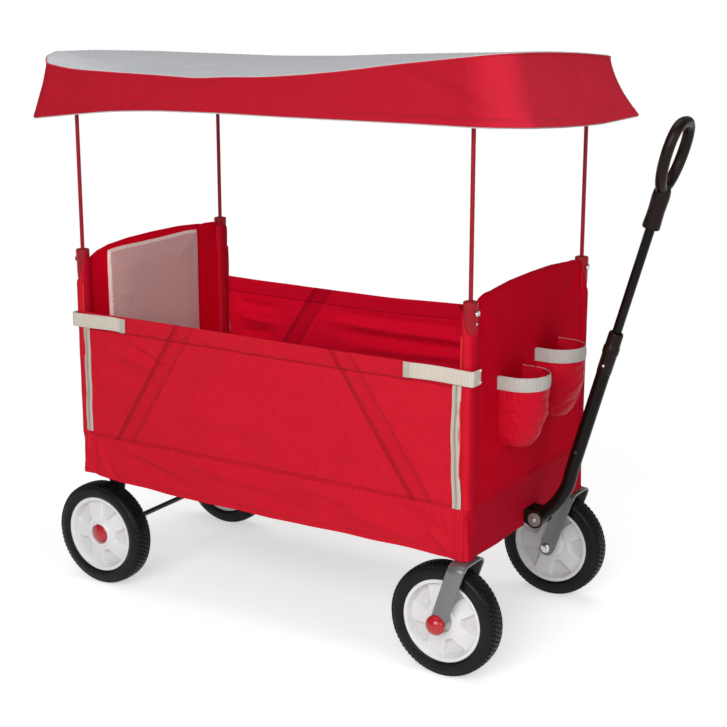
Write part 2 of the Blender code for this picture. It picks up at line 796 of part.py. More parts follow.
def side_relief(x, z):
    """How far the cloth stands out: the top hem, the two slanted bands and slack wrinkles."""
    share = (z - SEAM_Z) / (SIDE_TOP - SEAM_Z)
    out = 0.0
    for top, foot in zip(BAND_TOP, BAND_FOOT):
        middle = foot + (top - foot) * share
        if abs(x - middle) < BAND_W / 2:
            out += 0.0010
    if z > SIDE_TOP - HEM_BAND:
        out += 0.0012
    slack = math.sin(math.pi * share) * math.sin(math.pi * (x + POST_X) / (2 * POST_X))
    out += 0.0016 * slack * math.sin(9 * x + 26 * z)
    return out


# How the far side's top edge hangs between the corner posts, as (x, z)
FAR_TOP = ((-0.40, 0.5355), (-0.20, 0.5325), (0.0, 0.5335), (0.16, 0.5385), (0.40, 0.5430))


def side_panel(side, name, origin=None):
    """A long wall of cloth. Its grid is closer together along the edges of the slanted bands."""
    low, high = -0.3985, 0.3985
    levels = [SEAM_Z + 0.0015, 0.340, 0.380, 0.420, 0.460, 0.5130, 0.5155, SIDE_TOP]
    rows = []
    for z in levels:
        row = []
        share = (z - SEAM_Z) / (SIDE_TOP - SEAM_Z)
        edges = []
        for top, foot in zip(BAND_TOP, BAND_FOOT):
            middle = foot + (top - foot) * share
            edges += [middle - BAND_W / 2 - 0.001, middle - BAND_W / 2 + 0.001,
                      middle + BAND_W / 2 - 0.001, middle + BAND_W / 2 + 0.001]
        marks = [low] + edges + [high]
        columns = []
        for k, (a, b) in enumerate(zip(marks, marks[1:])):
            pieces = (2, 1, 1, 1, 7, 1, 1, 1, 2)[k]
            columns += [a + (b - a) * i / pieces for i in range(pieces)]
        columns.append(high)
        for x in columns:
            drop = (SIDE_TOP - linear(FAR_TOP, x)) * share if side > 0 else 0.0
            row.append((x, side * (SIDE_Y - 0.0012 + side_relief(x, z) - 0.0012), z - drop))
        rows.append(row)
    if side > 0:
        rows = [row[::-1] for row in rows]
    panel = cloth(rows, 0.0022, offset=-1.0)
    return part(panel, name, "cloth", origin=origin)


def long_skirt(side, name):
    """The cloth below a long side. It hangs in soft waves that grow towards its hem."""
    rows = []
    top = SEAM_Z - 0.0005
    for i in range(4):
        v = i / 3
        row = []
        for k in range(21):
            u = k / 20
            x = -0.3905 + 0.781 * u
            ends = math.sin(math.pi * u) ** 0.5
            wave = v * ends * (0.0016 * math.sin(x * 31) + 0.0010 * math.sin(x * 57 + 1))
            row.append((x, side * (SIDE_Y - 0.0012 + max(-0.0020, wave)), top + (HEM_Z - top) * v))
        rows.append(row)
    if side > 0:
        rows = [row[::-1] for row in rows]
    part(cloth(rows, 0.002, offset=0.0), name, "cloth")


def corner_strap(sign, x_end, z_mid):
    """Webbing sewn to the drop side that wraps round a corner post's roll to the end wall."""
    y = -(SIDE_Y + 0.0030)
    wrap_x = POST_X + ROLL_R + 0.0028
    radius = 0.006
    corner = [(sign * (wrap_x - radius + radius * math.cos(t)), y + radius - radius * math.sin(t))
              for t in [math.radians(a) for a in (90, 60, 30, 0)]]
    plan = [(x_end, y), (x_end + sign * 0.03, y), (x_end + sign * 0.07, y)] + corner
    plan += [(sign * wrap_x, -0.214), (sign * wrap_x, -0.196)]
    rows = [[(x, yy, z_mid - 0.013), (x, yy, z_mid + 0.013)] for x, yy in plan]
    name = "rear_corner_strap" if sign < 0 else "front_corner_strap"
    part(cloth(rows, 0.0022, offset=0.0), name, "webbing", origin=(0, -SIDE_Y, SEAM_Z))


# Cup pouches

POUCH_R = 0.0450
POUCH_X = END_OUTER + GAP + POUCH_R + 0.0004
POUCH_LOW = 0.402
POUCH_TOP = 0.516
POUCH_SIDES = 13


def pouch(key, y):
    """A sewn cup with a flat back, a gathered round foot and an elastic band at its mouth."""
    rows = []
    for z, radius in ((POUCH_LOW + 0.0005, 0.004), (POUCH_LOW, 0.024), (POUCH_LOW + 0.006, 0.036),
                      (POUCH_LOW + 0.020, 0.0432), (0.455, POUCH_R), (POUCH_TOP - 0.026, POUCH_R),
                      (POUCH_TOP - 0.0245, POUCH_R - 0.0022), (POUCH_TOP, POUCH_R - 0.0012)):
        ring = []
        for k in range(POUCH_SIDES):
            angle = 2 * math.pi * k / POUCH_SIDES
            crease = 0.0016 * math.sin(5 * angle) * (1 - ramp(z, 0.41, 0.48))
            r = radius + crease * min(1.0, radius / 0.03)
            x = max(POUCH_X + r * math.cos(angle), END_OUTER + GAP + 0.0002)
            ring.append((x, y + r * math.sin(angle), z))
        rows.append(ring)
    bm = bmesh.new()
    grid = [[bm.verts.new(p) for p in row] for row in rows]
    for lower, upper in zip(grid, grid[1:]):
        for i in range(POUCH_SIDES):
            j = (i + 1) % POUCH_SIDES
            bm.faces.new((lower[i], lower[j], upper[j], upper[i]))
    bm.faces.new(grid[0][::-1])
    bag = thickened(from_bmesh("pouch", bm), 0.0016)
    part(bag, f"cup_pouch_{key}", "cloth")


# Canopy

# Heights of the roof's two long edges and of the hem's near edge, as (x, z)
ROOF_NEAR = ((-0.456, 1.003), (-0.427, 0.995), (-0.392, 0.990), (-0.2945, 0.989), (-0.200, 0.9873),
             (-0.108, 0.985), (-0.060, 0.9885), (0.023, 0.9915), (0.107, 1.000), (0.187, 1.0115),
             (0.277, 1.0255), (0.390, 1.0396), (0.478, 1.050))
ROOF_FAR = ((-0.456, 0.990), (-0.264, 0.9935), (-0.115, 0.9985), (-0.007, 1.0052), (0.130, 1.0122),
            (0.218, 1.0163), (0.320, 1.0190), (0.420, 1.0180), (0.478, 1.0120))
HEM_EDGE = ((-0.476, 0.897), (-0.427, 0.9025), (-0.352, 0.9115), (-0.278, 0.920), (-0.184, 0.9265),
            (-0.048, 0.931), (0.081, 0.933), (0.200, 0.936), (0.330, 0.9385), (0.440, 0.939), (0.508, 0.941))
# How far the front hem hangs below its near corner, as (y, drop)
HEM_FRONT = ((-0.26, 0.0), (-0.176, 0.006), (-0.100, 0.012), (-0.020, 0.017), (0.065, 0.0205), (0.26, 0.021))
CROWN = 0.006
ROOF_CORNERS = (0.070, 0.080, 0.050, 0.022)
HEM_CORNERS = (0.075, 0.055, 0.050, 0.022)


def roof_height(x, y):
    """The roof between its two long edges, raised a little along its middle and over the rear bow."""
    share = (y + ROOF_HALF) / (2 * ROOF_HALF)
    near, far = table_line(ROOF_NEAR, x), table_line(ROOF_FAR, x)
    crown = CROWN * (2 - ramp(x, ROOF_X[0], -0.30))
    return near + (far - near) * share + crown * (1 - min(1.0, abs(y) / ROOF_HALF) ** 2)


def hem_height(x, y):
    return table_line(HEM_EDGE, x) - linear(HEM_FRONT, y) * ramp(x, 0.10, 0.50)


def table_line(table, x):
    """Straight between points, eased at each one by averaging over 4 cm."""
    total = 0.0
    for k in range(5):
        s = x + (k - 2) * 0.012
        total += linear(table, s)
    return total / 5


def linear(table, x):
    if x <= table[0][0]:
        return table[0][1]
    for (x0, v0), (x1, v1) in zip(table, table[1:]):
        if x <= x1:
            return v0 + (v1 - v0) * (x - x0) / (x1 - x0)
    return table[-1][1]


def canopy_outline(low_x, high_x, half, radii, per_long=7, per_short=4):
    """The canopy seen from above: a rectangle whose four corners have their own radii, from the front near one."""
    points = []
    corners = ((high_x, -half, -90), (high_x, half, 0), (low_x, half, 90), (low_x, -half, 180))
    arcs = []
    for (x, y, start), radius in zip(corners, radii):
        centre = (x - math.copysign(radius, x), y - math.copysign(radius, y))
        arcs.append(arc(centre, radius, start, start + 90, 3))
    for index, bend in enumerate(arcs):
        points += bend
        a, b = Vector(bend[-1]), Vector(arcs[(index + 1) % 4][0])
        pieces = per_short if index % 2 == 0 else per_long
        points += [tuple(a.lerp(b, k / pieces)) for k in range(1, pieces)]
    return points


def canopy():
    top = canopy_outline(ROOF_X[0], ROOF_X[1], ROOF_HALF, ROOF_CORNERS)
    hem = canopy_outline(-0.476, 0.506, 0.2600, HEM_CORNERS)
    rings = [[(x, y, hem_height(x, y)) for x, y in hem]]
    middle = []
    for (tx, ty), (hx, hy) in zip(top, hem):
        x, y = tx * 0.6 + hx * 0.4, ty * 0.62 + hy * 0.38
        middle.append((x, y, roof_height(tx, ty) * 0.55 + hem_height(hx, hy) * 0.45))
    rings.append(middle)
    centre = ((ROOF_X[0] + ROOF_X[1]) / 2, 0.0)
    for scale in (1.0, 0.90, 0.65, 0.33):
        ring = []
        for x, y in top:
            px = centre[0] + (x - centre[0]) * scale
            py = centre[1] + (y - centre[1]) * scale
            ring.append((px, py, roof_height(px, py)))
        rings.append(ring)
    bm = bmesh.new()
    grid = [[bm.verts.new(p) for p in ring] for ring in rings]
    count = len(top)
    for lower, upper in zip(grid, grid[1:]):
        for i in range(count):
            j = (i + 1) % count
            bm.faces.new((lower[i], lower[j], upper[j], upper[i]))
    hub = bm.verts.new((centre[0], centre[1], roof_height(centre[0], 0.0)))
    for i in range(count):
        bm.faces.new((grid[-1][i], grid[-1][(i + 1) % count], hub))
    bmesh.ops.recalc_face_normals(bm, faces=bm.faces)
    sheet = thickened(from_bmesh("canopy", bm), CLOTH)
    part(sheet, "canopy_cover", "canopy_cloth")


def canopy_bow(sign, height, name):
    """Two poles and the rod that joins them over the tub, bent from one length."""
    radius = 0.028
    left = [(-POST_Y, POLE_FOOT), (-POST_Y, 0.75), (-POST_Y, 0.88)]
    corner = arc((-POST_Y + radius, height - radius), radius, 180, 90, 6)
    path = left + corner + [(0.0, height)]
    path += [(-y, z) for y, z in reversed(path[:-1])]
    bow = tube([(sign * POST_X, y, z) for y, z in path], POLE_R, resolution=1)
    part(bow, name, "red_steel")


# Handle

def handle_point(z, offset=0.0):
    x = HANDLE_FOOT[0] + HANDLE_SLOPE * (z - HANDLE_FOOT[1])
    return Vector((x, offset, z))


def handle():
    pivot = (PIN_X, 0, PIN_Z)
    ears = block((POST_X + POST_R + GAP, -0.025, 0.2225), (POST_X + POST_R + GAP + 0.0035, 0.025, 0.2680))
    for side in (-1, 1):
        ear = plate(arc((PIN_X, PIN_Z), 0.0168, -100, 100, 10)
                    + [(POST_X + POST_R + 0.001, PIN_Z + 0.0168), (POST_X + POST_R + 0.001, PIN_Z - 0.0080)],
                    0.0075, at=side * 0.02125)
        joined(ears, ear)
    cut(ears, rod((PIN_X, -0.04, PIN_Z), (PIN_X, 0.04, PIN_Z), AXLE_R + GAP, 12))
    part(ears, "handle_bracket", "handle_plastic")

    bolt = turned([(0, 0.0292), (0.0050, 0.0288), (0.0072, 0.0268), (0.0072, 0.0253), (AXLE_R, 0.0253),
                   (AXLE_R, -0.0253), (0.0072, -0.0253), (0.0072, -0.0268), (0.0050, -0.0288), (0, -0.0292)], 16)
    along_y(bolt, pivot)
    part(bolt, "handle_pivot_bolt", "bright_steel", origin=pivot)

    axis = (handle_point(1.0) - handle_point(0.0)).normalized()
    bend = smooth_path([(PIN_X + 0.004, 0, PIN_Z + 0.003), (0.4715, 0, 0.2620), (0.4915, 0, 0.2955),
                        handle_point(0.3287)], 3)
    lower = tube(bend + [handle_point(0.45), handle_point(COLLAR_Z)], TUBE_R, resolution=2)
    eye = rod((PIN_X, -0.0168, PIN_Z), (PIN_X, 0.0168, PIN_Z), 0.0145, 16)
    joined(lower, eye)
    cut(lower, rod(handle_point(0.3350), handle_point(COLLAR_Z) + axis * 0.01, INNER_R + 0.0006, 14),
        rod((PIN_X, -0.04, PIN_Z), (PIN_X, 0.04, PIN_Z), AXLE_R + GAP, 12))
    part(lower, "handle_lower_tube", "handle_steel", origin=pivot)

    top = handle_point(COLLAR_Z)
    collar = frozen(turned([(INNER_R + 0.0005, 0.0345), (0.0118, 0.0345), (0.0150, 0.0300), (0.0150, 0.0),
                            (0.0136, -0.0240), (TUBE_R + 0.0003, -0.0240), (TUBE_R + 0.0003, 0.0003),
                            (INNER_R + 0.0005, 0.0003)], 16, closed=True))
    turn = Vector((0, 0, 1)).rotation_difference(axis).to_matrix().to_4x4()
    collar.matrix_basis = Matrix.Translation(top) @ turn
    press = handle_point(COLLAR_Z) + axis * 0.012
    hole = rod(press + Vector((0, -0.0098, 0)), press + Vector((0, -0.02, 0)), 0.0046, 14)
    cut(collar, hole)
    part(collar, "handle_collar", "handle_plastic", origin=top)
    button = rod(press + Vector((0, -0.0112, 0)), press + Vector((0, -0.0168, 0)), 0.0042, 12)
    part(button, "handle_lock_button", "bright_steel", origin=press)

    inner_foot = handle_point(COLLAR_Z) - axis * 0.035
    inner = rod(inner_foot, handle_point(GRIP_Z) + axis * 0.004, INNER_R, 14)
    part(inner, "handle_upper_tube", "handle_steel", origin=inner_foot)
    grip(axis)


def grip(axis):
    """A moulded loop with a tapered neck over the upper tube, wider across than along."""
    base = handle_point(GRIP_Z) + axis * 0.0045
    length = (handle_point(HANDLE_TOP) - base).length
    across = Vector((0, 1, 0))
    neck_end = 0.052
    loop = []
    half = 0.0345
    for k in range(LOOP_STEPS):
        angle = 2 * math.pi * k / LOOP_STEPS
        s, c = math.sin(angle), math.cos(angle)
        share = (c + 1) / 2
        width = half * (0.62 + 0.38 * share)
        up = neck_end + 0.010 + (length - neck_end - 0.010 - LOOP_R) * share
        bulge = math.copysign(abs(s) ** 0.72, s)
        loop.append(base + axis * up + across * bulge * width)
    ring = tube(loop, LOOP_R, cyclic=True, resolution=2)
    neck = rod(base - axis * 0.0042, base + axis * 0.030, 0.0128, 14, end_radius=0.0112)
    shoulder = rod(base + axis * 0.0295, base + axis * (neck_end + 0.016), 0.0112, 14, end_radius=0.0150)
    ring = joined(ring, neck, shoulder)
    cut(ring, rod(base - axis * 0.03, base + axis * 0.0002, INNER_R + GAP, 14))
    part(ring, "handle_grip", "handle_plastic", origin=base)


def build():
    wheels()
    rear_axle()
    casters()
    for sign in (-1, 1):
        end_frame(sign)
        end_panel(sign)
        seat_pad(sign)
        end_skirt(sign)
        base_half(sign)
        for side in (-1, 1):
            socket(sign, side)
    hinge_rods()
    pull_strap()
    side_panel(-1, "drop_side", origin=(0, -SIDE_Y, SEAM_Z))
    side_panel(1, "far_side")
    long_skirt(-1, "near_skirt")
    long_skirt(1, "far_skirt")
    corner_strap(-1, -0.2975, 0.5290)
    corner_strap(1, 0.2958, 0.5315)
    pouch("near", -0.116)
    pouch("far", 0.024)
    canopy()
    canopy_bow(-1, 0.978, "rear_canopy_bow")
    canopy_bow(1, 1.012, "front_canopy_bow")
    handle()


build()
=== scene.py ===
"""A folding fabric wagon with a shade canopy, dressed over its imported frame.

The pieces are drawn in the wagon's own frame, whose x = 0 is midway between the corner posts:
+X is the handle end, -Y the side with the zips, +Z up. SHIFT slides each finished mesh into place.
"""
import math

import bmesh
import bpy
import numpy as np
from mathutils import Matrix, Vector


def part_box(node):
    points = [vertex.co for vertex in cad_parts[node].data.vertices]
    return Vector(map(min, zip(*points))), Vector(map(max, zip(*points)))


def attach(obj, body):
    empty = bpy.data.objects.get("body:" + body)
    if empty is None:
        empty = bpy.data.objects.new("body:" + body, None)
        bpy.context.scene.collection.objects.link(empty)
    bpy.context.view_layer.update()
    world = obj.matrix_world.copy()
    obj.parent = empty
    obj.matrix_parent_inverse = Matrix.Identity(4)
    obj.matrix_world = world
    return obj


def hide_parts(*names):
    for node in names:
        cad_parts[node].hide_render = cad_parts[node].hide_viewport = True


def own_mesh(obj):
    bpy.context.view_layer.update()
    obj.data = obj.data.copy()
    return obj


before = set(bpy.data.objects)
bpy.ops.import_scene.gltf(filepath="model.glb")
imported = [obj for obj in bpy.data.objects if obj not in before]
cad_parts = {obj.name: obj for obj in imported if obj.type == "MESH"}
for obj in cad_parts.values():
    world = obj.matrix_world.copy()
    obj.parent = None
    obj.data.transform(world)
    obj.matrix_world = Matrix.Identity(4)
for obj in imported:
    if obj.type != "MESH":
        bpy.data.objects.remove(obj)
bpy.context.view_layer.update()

bl_info = {
    "name": "Folding wagon",
    "version": (1, 0, 0),
    "blender": (4, 5, 0),
    "location": "3D View > Sidebar > Wagon",
    "description": "Builds the cloth, wheels, handle and stage of a folding wagon over its frame",
    "category": "Add Mesh",
}


def middle_x(node):
    low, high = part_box(node)
    return (low.x + high.x) / 2


SHIFT = (middle_x("rear_canopy_bow") + middle_x("front_canopy_bow")) / 2

# Sizes shared by several pieces, in metres
POST_X = 0.409
POST_Y = 0.2118
ROLL_R = 0.0135
SIDE_FACE = 0.2262
CLOTH = 0.0022
SEAM_Z = 0.3045
HEM_Z = 0.2175
SIDE_TOP = 0.544
SIDE_HALF = 0.3985
SKIRT_HALF = 0.3915
SKIRT_HEM = 0.008
WALL_OUT = 0.4175
WALL_IN = 0.4065
WALL_HALF = 0.2035
ROLL_TOP = 0.6005
POLE_R = 0.0037
TYRE_R = 0.1016
RIM_R = 0.0736
REAR_AXLE_X = -0.3919
REAR_WHEEL_Y = 0.2009
TRAIL = 0.0364
WHEEL_PLACES = {
    "rear_near": (REAR_AXLE_X, -REAR_WHEEL_Y),
    "rear_far": (REAR_AXLE_X, REAR_WHEEL_Y),
    "front_near": (POST_X - TRAIL, -POST_Y),
    "front_far": (POST_X - TRAIL, POST_Y),
}
SIDES = (("near", -1), ("far", 1))
ENDS = (("rear", -1, "root"), ("front", 1, "front_frame"))


# Numbers over grids

def ramp(x, start, end):
    """An eased rise from 0 to 1 between two values."""
    t = np.clip((x - start) / (end - start), 0.0, 1.0)
    return t * t * (3 - 2 * t)


def bump(x, middle, width):
    """A smooth hill of height 1."""
    return np.exp(-((x - middle) / width) ** 2)


def table(points, x):
    """Straight between points, eased over 5 cm."""
    xs, ys = np.array(points).T
    return sum(np.interp(x + (k - 2) * 0.012, xs, ys) for k in range(5)) / 5


def noise(u, v, seed):
    """Smooth random heights from -1 to 1 on a lattice of one unit."""
    lattice = np.random.default_rng(seed).uniform(-1, 1, (64, 64))
    i, j = np.floor(u).astype(int), np.floor(v).astype(int)
    s, t = u - i, v - j
    s, t = s * s * (3 - 2 * s), t * t * (3 - 2 * t)
    a, b = lattice[i % 64, j % 64], lattice[(i + 1) % 64, j % 64]
    c, d = lattice[i % 64, (j + 1) % 64], lattice[(i + 1) % 64, (j + 1) % 64]
    return (a * (1 - s) + b * s) * (1 - t) + (c * (1 - s) + d * s) * t


def rumple(u, v, seed):
    """Three sizes of noise, each half as high as the one before."""
    return sum(noise(u * 2 ** k, v * 2 ** k, seed + k) / 2 ** k for k in range(3)) / 1.75


def folds(a, b, lines):
    """Soft ridges, or hollows below zero, each along a line (a0, b0, a1, b1, width, height)."""
    total = np.zeros_like(a)
    for a0, b0, a1, b1, width, height in lines:
        da, db = a1 - a0, b1 - b0
        length = math.hypot(da, db)
        along = ((a - a0) * da + (b - b0) * db) / length ** 2
        across = ((a - a0) * db - (b - b0) * da) / length
        total += height * bump(across, 0, width) * ramp(along, -0.12, 0.25) * (1 - ramp(along, 0.75, 1.12))
    return total


def puckers(distance, along, seed, pitch=0.011, reach=0.008):
    """The gathers that a seam pulls up beside itself, from -1 to 1 at the seam."""
    phase = 2 * math.pi * along / pitch + 2.2 * noise(along / (2.3 * pitch), 0 * along, seed)
    strength = 0.55 + 0.45 * noise(along / (3.1 * pitch), 0 * along + 7, seed + 1)
    return np.sin(phase) * strength * np.exp(-np.abs(distance) / reach)


# Shapes: points and faces, with a length and a height along the cloth for each face corner

class Shape:
    def __init__(self, points, faces, uvs=None):
        self.points = np.asarray(points, float).reshape(-1, 3)
        self.faces = [tuple(int(i) for i in face) for face in faces]
        self.uvs = uvs if uvs is not None else [[(0.0, 0.0)] * len(face) for face in self.faces]

    def __add__(self, other):
        start = len(self.points)
        faces = self.faces + [tuple(i + start for i in face) for face in other.faces]
        return Shape(np.concatenate([self.points, other.points]), faces, self.uvs + other.uvs)

    def moved(self, x=0.0, y=0.0, z=0.0):
        return Shape(self.points + np.array([x, y, z]), self.faces, self.uvs)

    def turned(self, matrix):
        """The shape through a 4x4 matrix. A mirror is put right when the mesh is made."""
        m = np.array(matrix)
        return Shape(self.points @ m[:3, :3].T + m[:3, 3], self.faces, self.uvs)


def joined(shapes):
    total = None
    for shape in shapes:
        total = shape if total is None else total + shape
    return total


def lengths(points):
    """How far along a line each of its points is."""
    steps = np.linalg.norm(np.diff(points, axis=0), axis=1)
    return np.concatenate([[0.0], np.cumsum(steps)])


def grid(points, wrap=False, cap=False, close_rows=False):
    """Quads over rows of points. wrap joins each row's ends, cap fills the first and last rows."""
    points = np.asarray(points, float)
    rows, cols = points.shape[:2]
    u = lengths(np.concatenate([points[rows // 2], points[rows // 2][:1]]))
    v = lengths(np.concatenate([points[:, cols // 3], points[:1, cols // 3]]))
    faces, uvs = [], []
    for i in range(rows if close_rows else rows - 1):
        for j in range(cols if wrap else cols - 1):
            k, m = (j + 1) % cols, (i + 1) % rows
            faces.append((i * cols + j, i * cols + k, m * cols + k, m * cols + j))
            uvs.append([(u[j], v[i]), (u[j + 1], v[i]), (u[j + 1], v[i + 1]), (u[j], v[i + 1])])
    if cap:
        for i, last in ((0, False), (rows - 1, True)):
            ring = [i * cols + j for j in range(cols)]
            faces.append(tuple(ring if last else ring[::-1]))
            uvs.append([(0.0, 0.0)] * cols)
    return Shape(points.reshape(-1, 3), faces, uvs)


def slab(front, back):
    """A closed cloth wall between two grids of the same size."""
    front, back = np.asarray(front, float), np.asarray(back, float)
    rows, cols = front.shape[:2]
    a, b = grid(front), grid(back)
    b.faces = [face[::-1] for face in b.faces]
    b.uvs = [uv[::-1] for uv in b.uvs]
    shape = a + b
    start = rows * cols
    rim = [(0, j) for j in range(cols)] + [(i, cols - 1) for i in range(1, rows)]
    rim += [(rows - 1, j) for j in range(cols - 2, -1, -1)] + [(i, 0) for i in range(rows - 2, 0, -1)]
    edge = [i * cols + j for i, j in rim]
    u = lengths(front[rows // 2])
    v = lengths(front[:, cols // 3])
    for n, one in enumerate(edge):
        two = edge[(n + 1) % len(edge)]
        shape.faces.append((two, one, one + start, two + start))
        corner = (float(u[one % cols]), float(v[one // cols]))
        shape.uvs.append([corner] * 4)
    return shape


def smooth_path(points, per_span=6):
    """Catmull-Rom points through a few given ones."""
    pts = [Vector(p) for p in points]
    pts = [pts[0] * 2 - pts[1]] + pts + [pts[-1] * 2 - pts[-2]]
    path = []
    for a, b, c, d in zip(pts, pts[1:], pts[2:], pts[3:]):
        for k in range(per_span):
            t = k / per_span
            path.append(0.5 * (2 * b + (c - a) * t + (2 * a - 5 * b + 4 * c - d) * t * t
                               + (3 * b - a - 3 * c + d) * t ** 3))
    path.append(pts[-2])
    return [tuple(p) for p in path]


def arc(centre, radius, start, end, count):
    """Points on an arc in a plane, angles in degrees."""
    angles = np.radians(np.linspace(start, end, count + 1))
    return [(centre[0] + radius * math.cos(t), centre[1] + radius * math.sin(t)) for t in angles]


def hoop(left, right, foot, top, radius, steps):
    """A hoop as (across, up): up one side, over two bends and down the other. steps is (side, bend, top)."""
    side, bend, over = steps
    points = [(left, z) for z in np.linspace(foot, top - radius, side)[:-1]]
    points += arc((left + radius, top - radius), radius, 180, 90, bend)
    points += [(a, top) for a in np.linspace(left + radius, right - radius, over)[1:-1]]
    points += arc((right - radius, top - radius), radius, 90, 0, bend)
    return points + [(right, z) for z in np.linspace(top - radius, foot, side)[1:]]


def turns_round(count, start=0.0):
    """Evenly spaced angles once round."""
    return np.linspace(start, start + 2 * math.pi, count + 1)[:-1]


def ring_section(radius, sides):
    return [(radius * math.cos(t), radius * math.sin(t)) for t in turns_round(sides)]


def strip_section(width, height, r):
    """A flat bar's outline with corners rounded to r."""
    points = []
    for sx, sy, start in ((1, 1, 0), (-1, 1, 90), (-1, -1, 180), (1, -1, 270)):
        points += arc((sx * (width / 2 - r), sy * (height / 2 - r)), r, start, start + 90, 3)
    return points


def sweep(path, section, up=(0, 0, 1), closed=False):
    """Carry a section (across, up) along a path."""
    path = np.asarray(path, float)
    section = np.asarray(section, float)
    tangents = np.roll(path, -1, 0) - np.roll(path, 1, 0) if closed else np.gradient(path, axis=0)
    tangents /= np.linalg.norm(tangents, axis=1)[:, None]
    side = np.cross(tangents, np.asarray(up, float))
    side /= np.linalg.norm(side, axis=1)[:, None]
    lift = np.cross(side, tangents)
    rows = path[:, None] + side[:, None] * section[None, :, :1] + lift[:, None] * section[None, :, 1:]
    return grid(rows, wrap=True, cap=not closed, close_rows=closed)


def tube(path, radius, sides, up=(0, 0, 1), closed=False):
    return sweep(path, ring_section(radius, sides), up, closed)


def lathe(profile, steps=48, axis="Z", place=(0, 0, 0), flip=False):
    """Turn (radius, height) points about an axis. Its top faces +Z, -Y or +X, or the other way when flipped."""
    profile = np.asarray(profile, float)
    angles = turns_round(steps)
    rows = np.stack([np.outer(profile[:, 0], np.cos(angles)), np.outer(profile[:, 0], np.sin(angles)),
                     np.repeat(profile[:, 1:], steps, 1)], 2)
    shape = grid(rows, wrap=True, close_rows=bool(profile[0, 0] > 1e-6 and profile[-1, 0] > 1e-6))
    about = "Y" if axis == "X" else "X"
    turn = Matrix.Identity(4) if axis == "Z" else Matrix.Rotation(math.radians(90), 4, about)
    if flip:
        turn = turn @ Matrix.Rotation(math.pi, 4, about)
    return shape.turned(Matrix.Translation(place) @ turn)


def bevelled_plate(outline, thickness, edge, plane, at):
    """A flat plate from a closed outline with eased edges. XZ plates stand at y = at, YZ ones at x = at."""
    ring = np.asarray(outline, float)
    following, before = np.roll(ring, -1, 0), np.roll(ring, 1, 0)
    along = following - before
    normal = np.stack([along[:, 1], -along[:, 0]], 1)
    normal /= np.linalg.norm(normal, axis=1)[:, None]
    if np.sum(ring[:, 0] * following[:, 1] - following[:, 0] * ring[:, 1]) < 0:
        normal = -normal
    half = thickness / 2
    rows = []
    for inset, height in ((edge, -half), (0.3 * edge, 0.3 * edge - half), (0, edge - half),
                          (0, half - edge), (0.3 * edge, half - 0.3 * edge), (edge, half)):
        flat = ring - normal * inset
        level = np.full(len(flat), at + height)
        rows.append(np.stack([flat[:, 0], level, flat[:, 1]] if plane == "XZ" else [level, *flat.T], 1))
    return grid(rows, wrap=True, cap=True)


# From shapes to pieces

def shaded(mesh, angle):
    """Smooth shading, with sharp edges past the angle in degrees."""
    mesh.shade_smooth()
    mesh.set_sharp_from_angle(angle=math.radians(angle))
    return mesh


def mesh_from(name, shape, angle=40):
    """A clean mesh: doubles merged, normals outwards, smooth with sharp edges past the angle."""
    bm = bmesh.new()
    layer = bm.loops.layers.uv.new("cloth")
    verts = [bm.verts.new(point) for point in shape.points]
    for face, uv in zip(shape.faces, shape.uvs):
        if len(set(face)) < 3:
            continue
        try:
            made = bm.faces.new([verts[i] for i in face])
        except ValueError:
            continue
        for loop, corner in zip(made.loops, uv):
            loop[layer].uv = corner
    bmesh.ops.remove_doubles(bm, verts=bm.verts, dist=1e-6)
    bmesh.ops.recalc_face_normals(bm, faces=bm.faces)
    mesh = bpy.data.meshes.new(name)
    bm.to_mesh(mesh)
    bm.free()
    mesh.transform(Matrix.Translation((SHIFT, 0, 0)))
    return shaded(mesh, angle)


def place_piece(name, mesh, finishes, body, replaces=()):
    """Link a mesh as a piece that rides on a body, with one finish or a few, by name."""
    obj = linked(name, mesh)
    mesh.materials.clear()
    for item in [finishes] if isinstance(finishes, str) else finishes:
        mesh.materials.append(finish(item))
    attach(obj, body)
    if replaces:
        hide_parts(*replaces)
    return obj


def piece(name, shape, finishes, body, replaces=(), angle=40):
    return place_piece(name, mesh_from(name, shape, angle), finishes, body, replaces)


def mark(mesh, name, values):
    """One number at each point of a mesh, for a finish to read."""
    mesh.attributes.new(name, "FLOAT", "POINT").data.foreach_set("value", np.asarray(values, float))


def mark_front_shade(obj, start=0.25, end=0.8):
    """How far each point faces the front of the wagon, from 0 to 1, which finishes use to paint shade or light on
    those faces.
    """
    normals = np.empty(len(obj.data.vertices) * 3)
    obj.data.vertices.foreach_get("normal", normals)
    mark(obj.data, "front", ramp(normals[::3], start, end))
    return obj


def draw_up(obj):
    """Give the piece a mesh of its own."""
    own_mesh(obj)
    return obj


def settings(name):
    return getattr(bpy.context.scene, "wagon_" + name)


def linked(name, mesh):
    obj = bpy.data.objects.new(name, mesh)
    bpy.context.scene.collection.objects.link(obj)
    return obj


def made_plain(obj, *helpers):
    """The plain mesh of an object with its modifiers, which is then removed with its helpers."""
    graph = bpy.context.evaluated_depsgraph_get()
    made = bpy.data.meshes.new_from_object(obj.evaluated_get(graph), depsgraph=graph)
    for item in (obj, *helpers):
        data = item.data
        bpy.data.objects.remove(item)
        bpy.data.meshes.remove(data)
    return made


# Node helpers and the effects that several finishes share

def plug(tree, socket, value):
    """Link a socket to another, or give it a value."""
    if isinstance(value, bpy.types.NodeSocket):
        tree.links.new(value, socket)
    else:
        socket.default_value = value


def add(tree, kind, inputs=None, **values):
    """A new node with its own settings, and its inputs by name or number."""
    node = tree.nodes.new(kind)
    for key, value in values.items():
        setattr(node, key, value)
    for key, value in (inputs or {}).items():
        plug(tree, node.inputs[key], value)
    return node


def calc(tree, operation, a, b=0.0, c=0.0):
    return add(tree, "ShaderNodeMath", {0: a, 1: b, 2: c}, operation=operation).outputs[0]


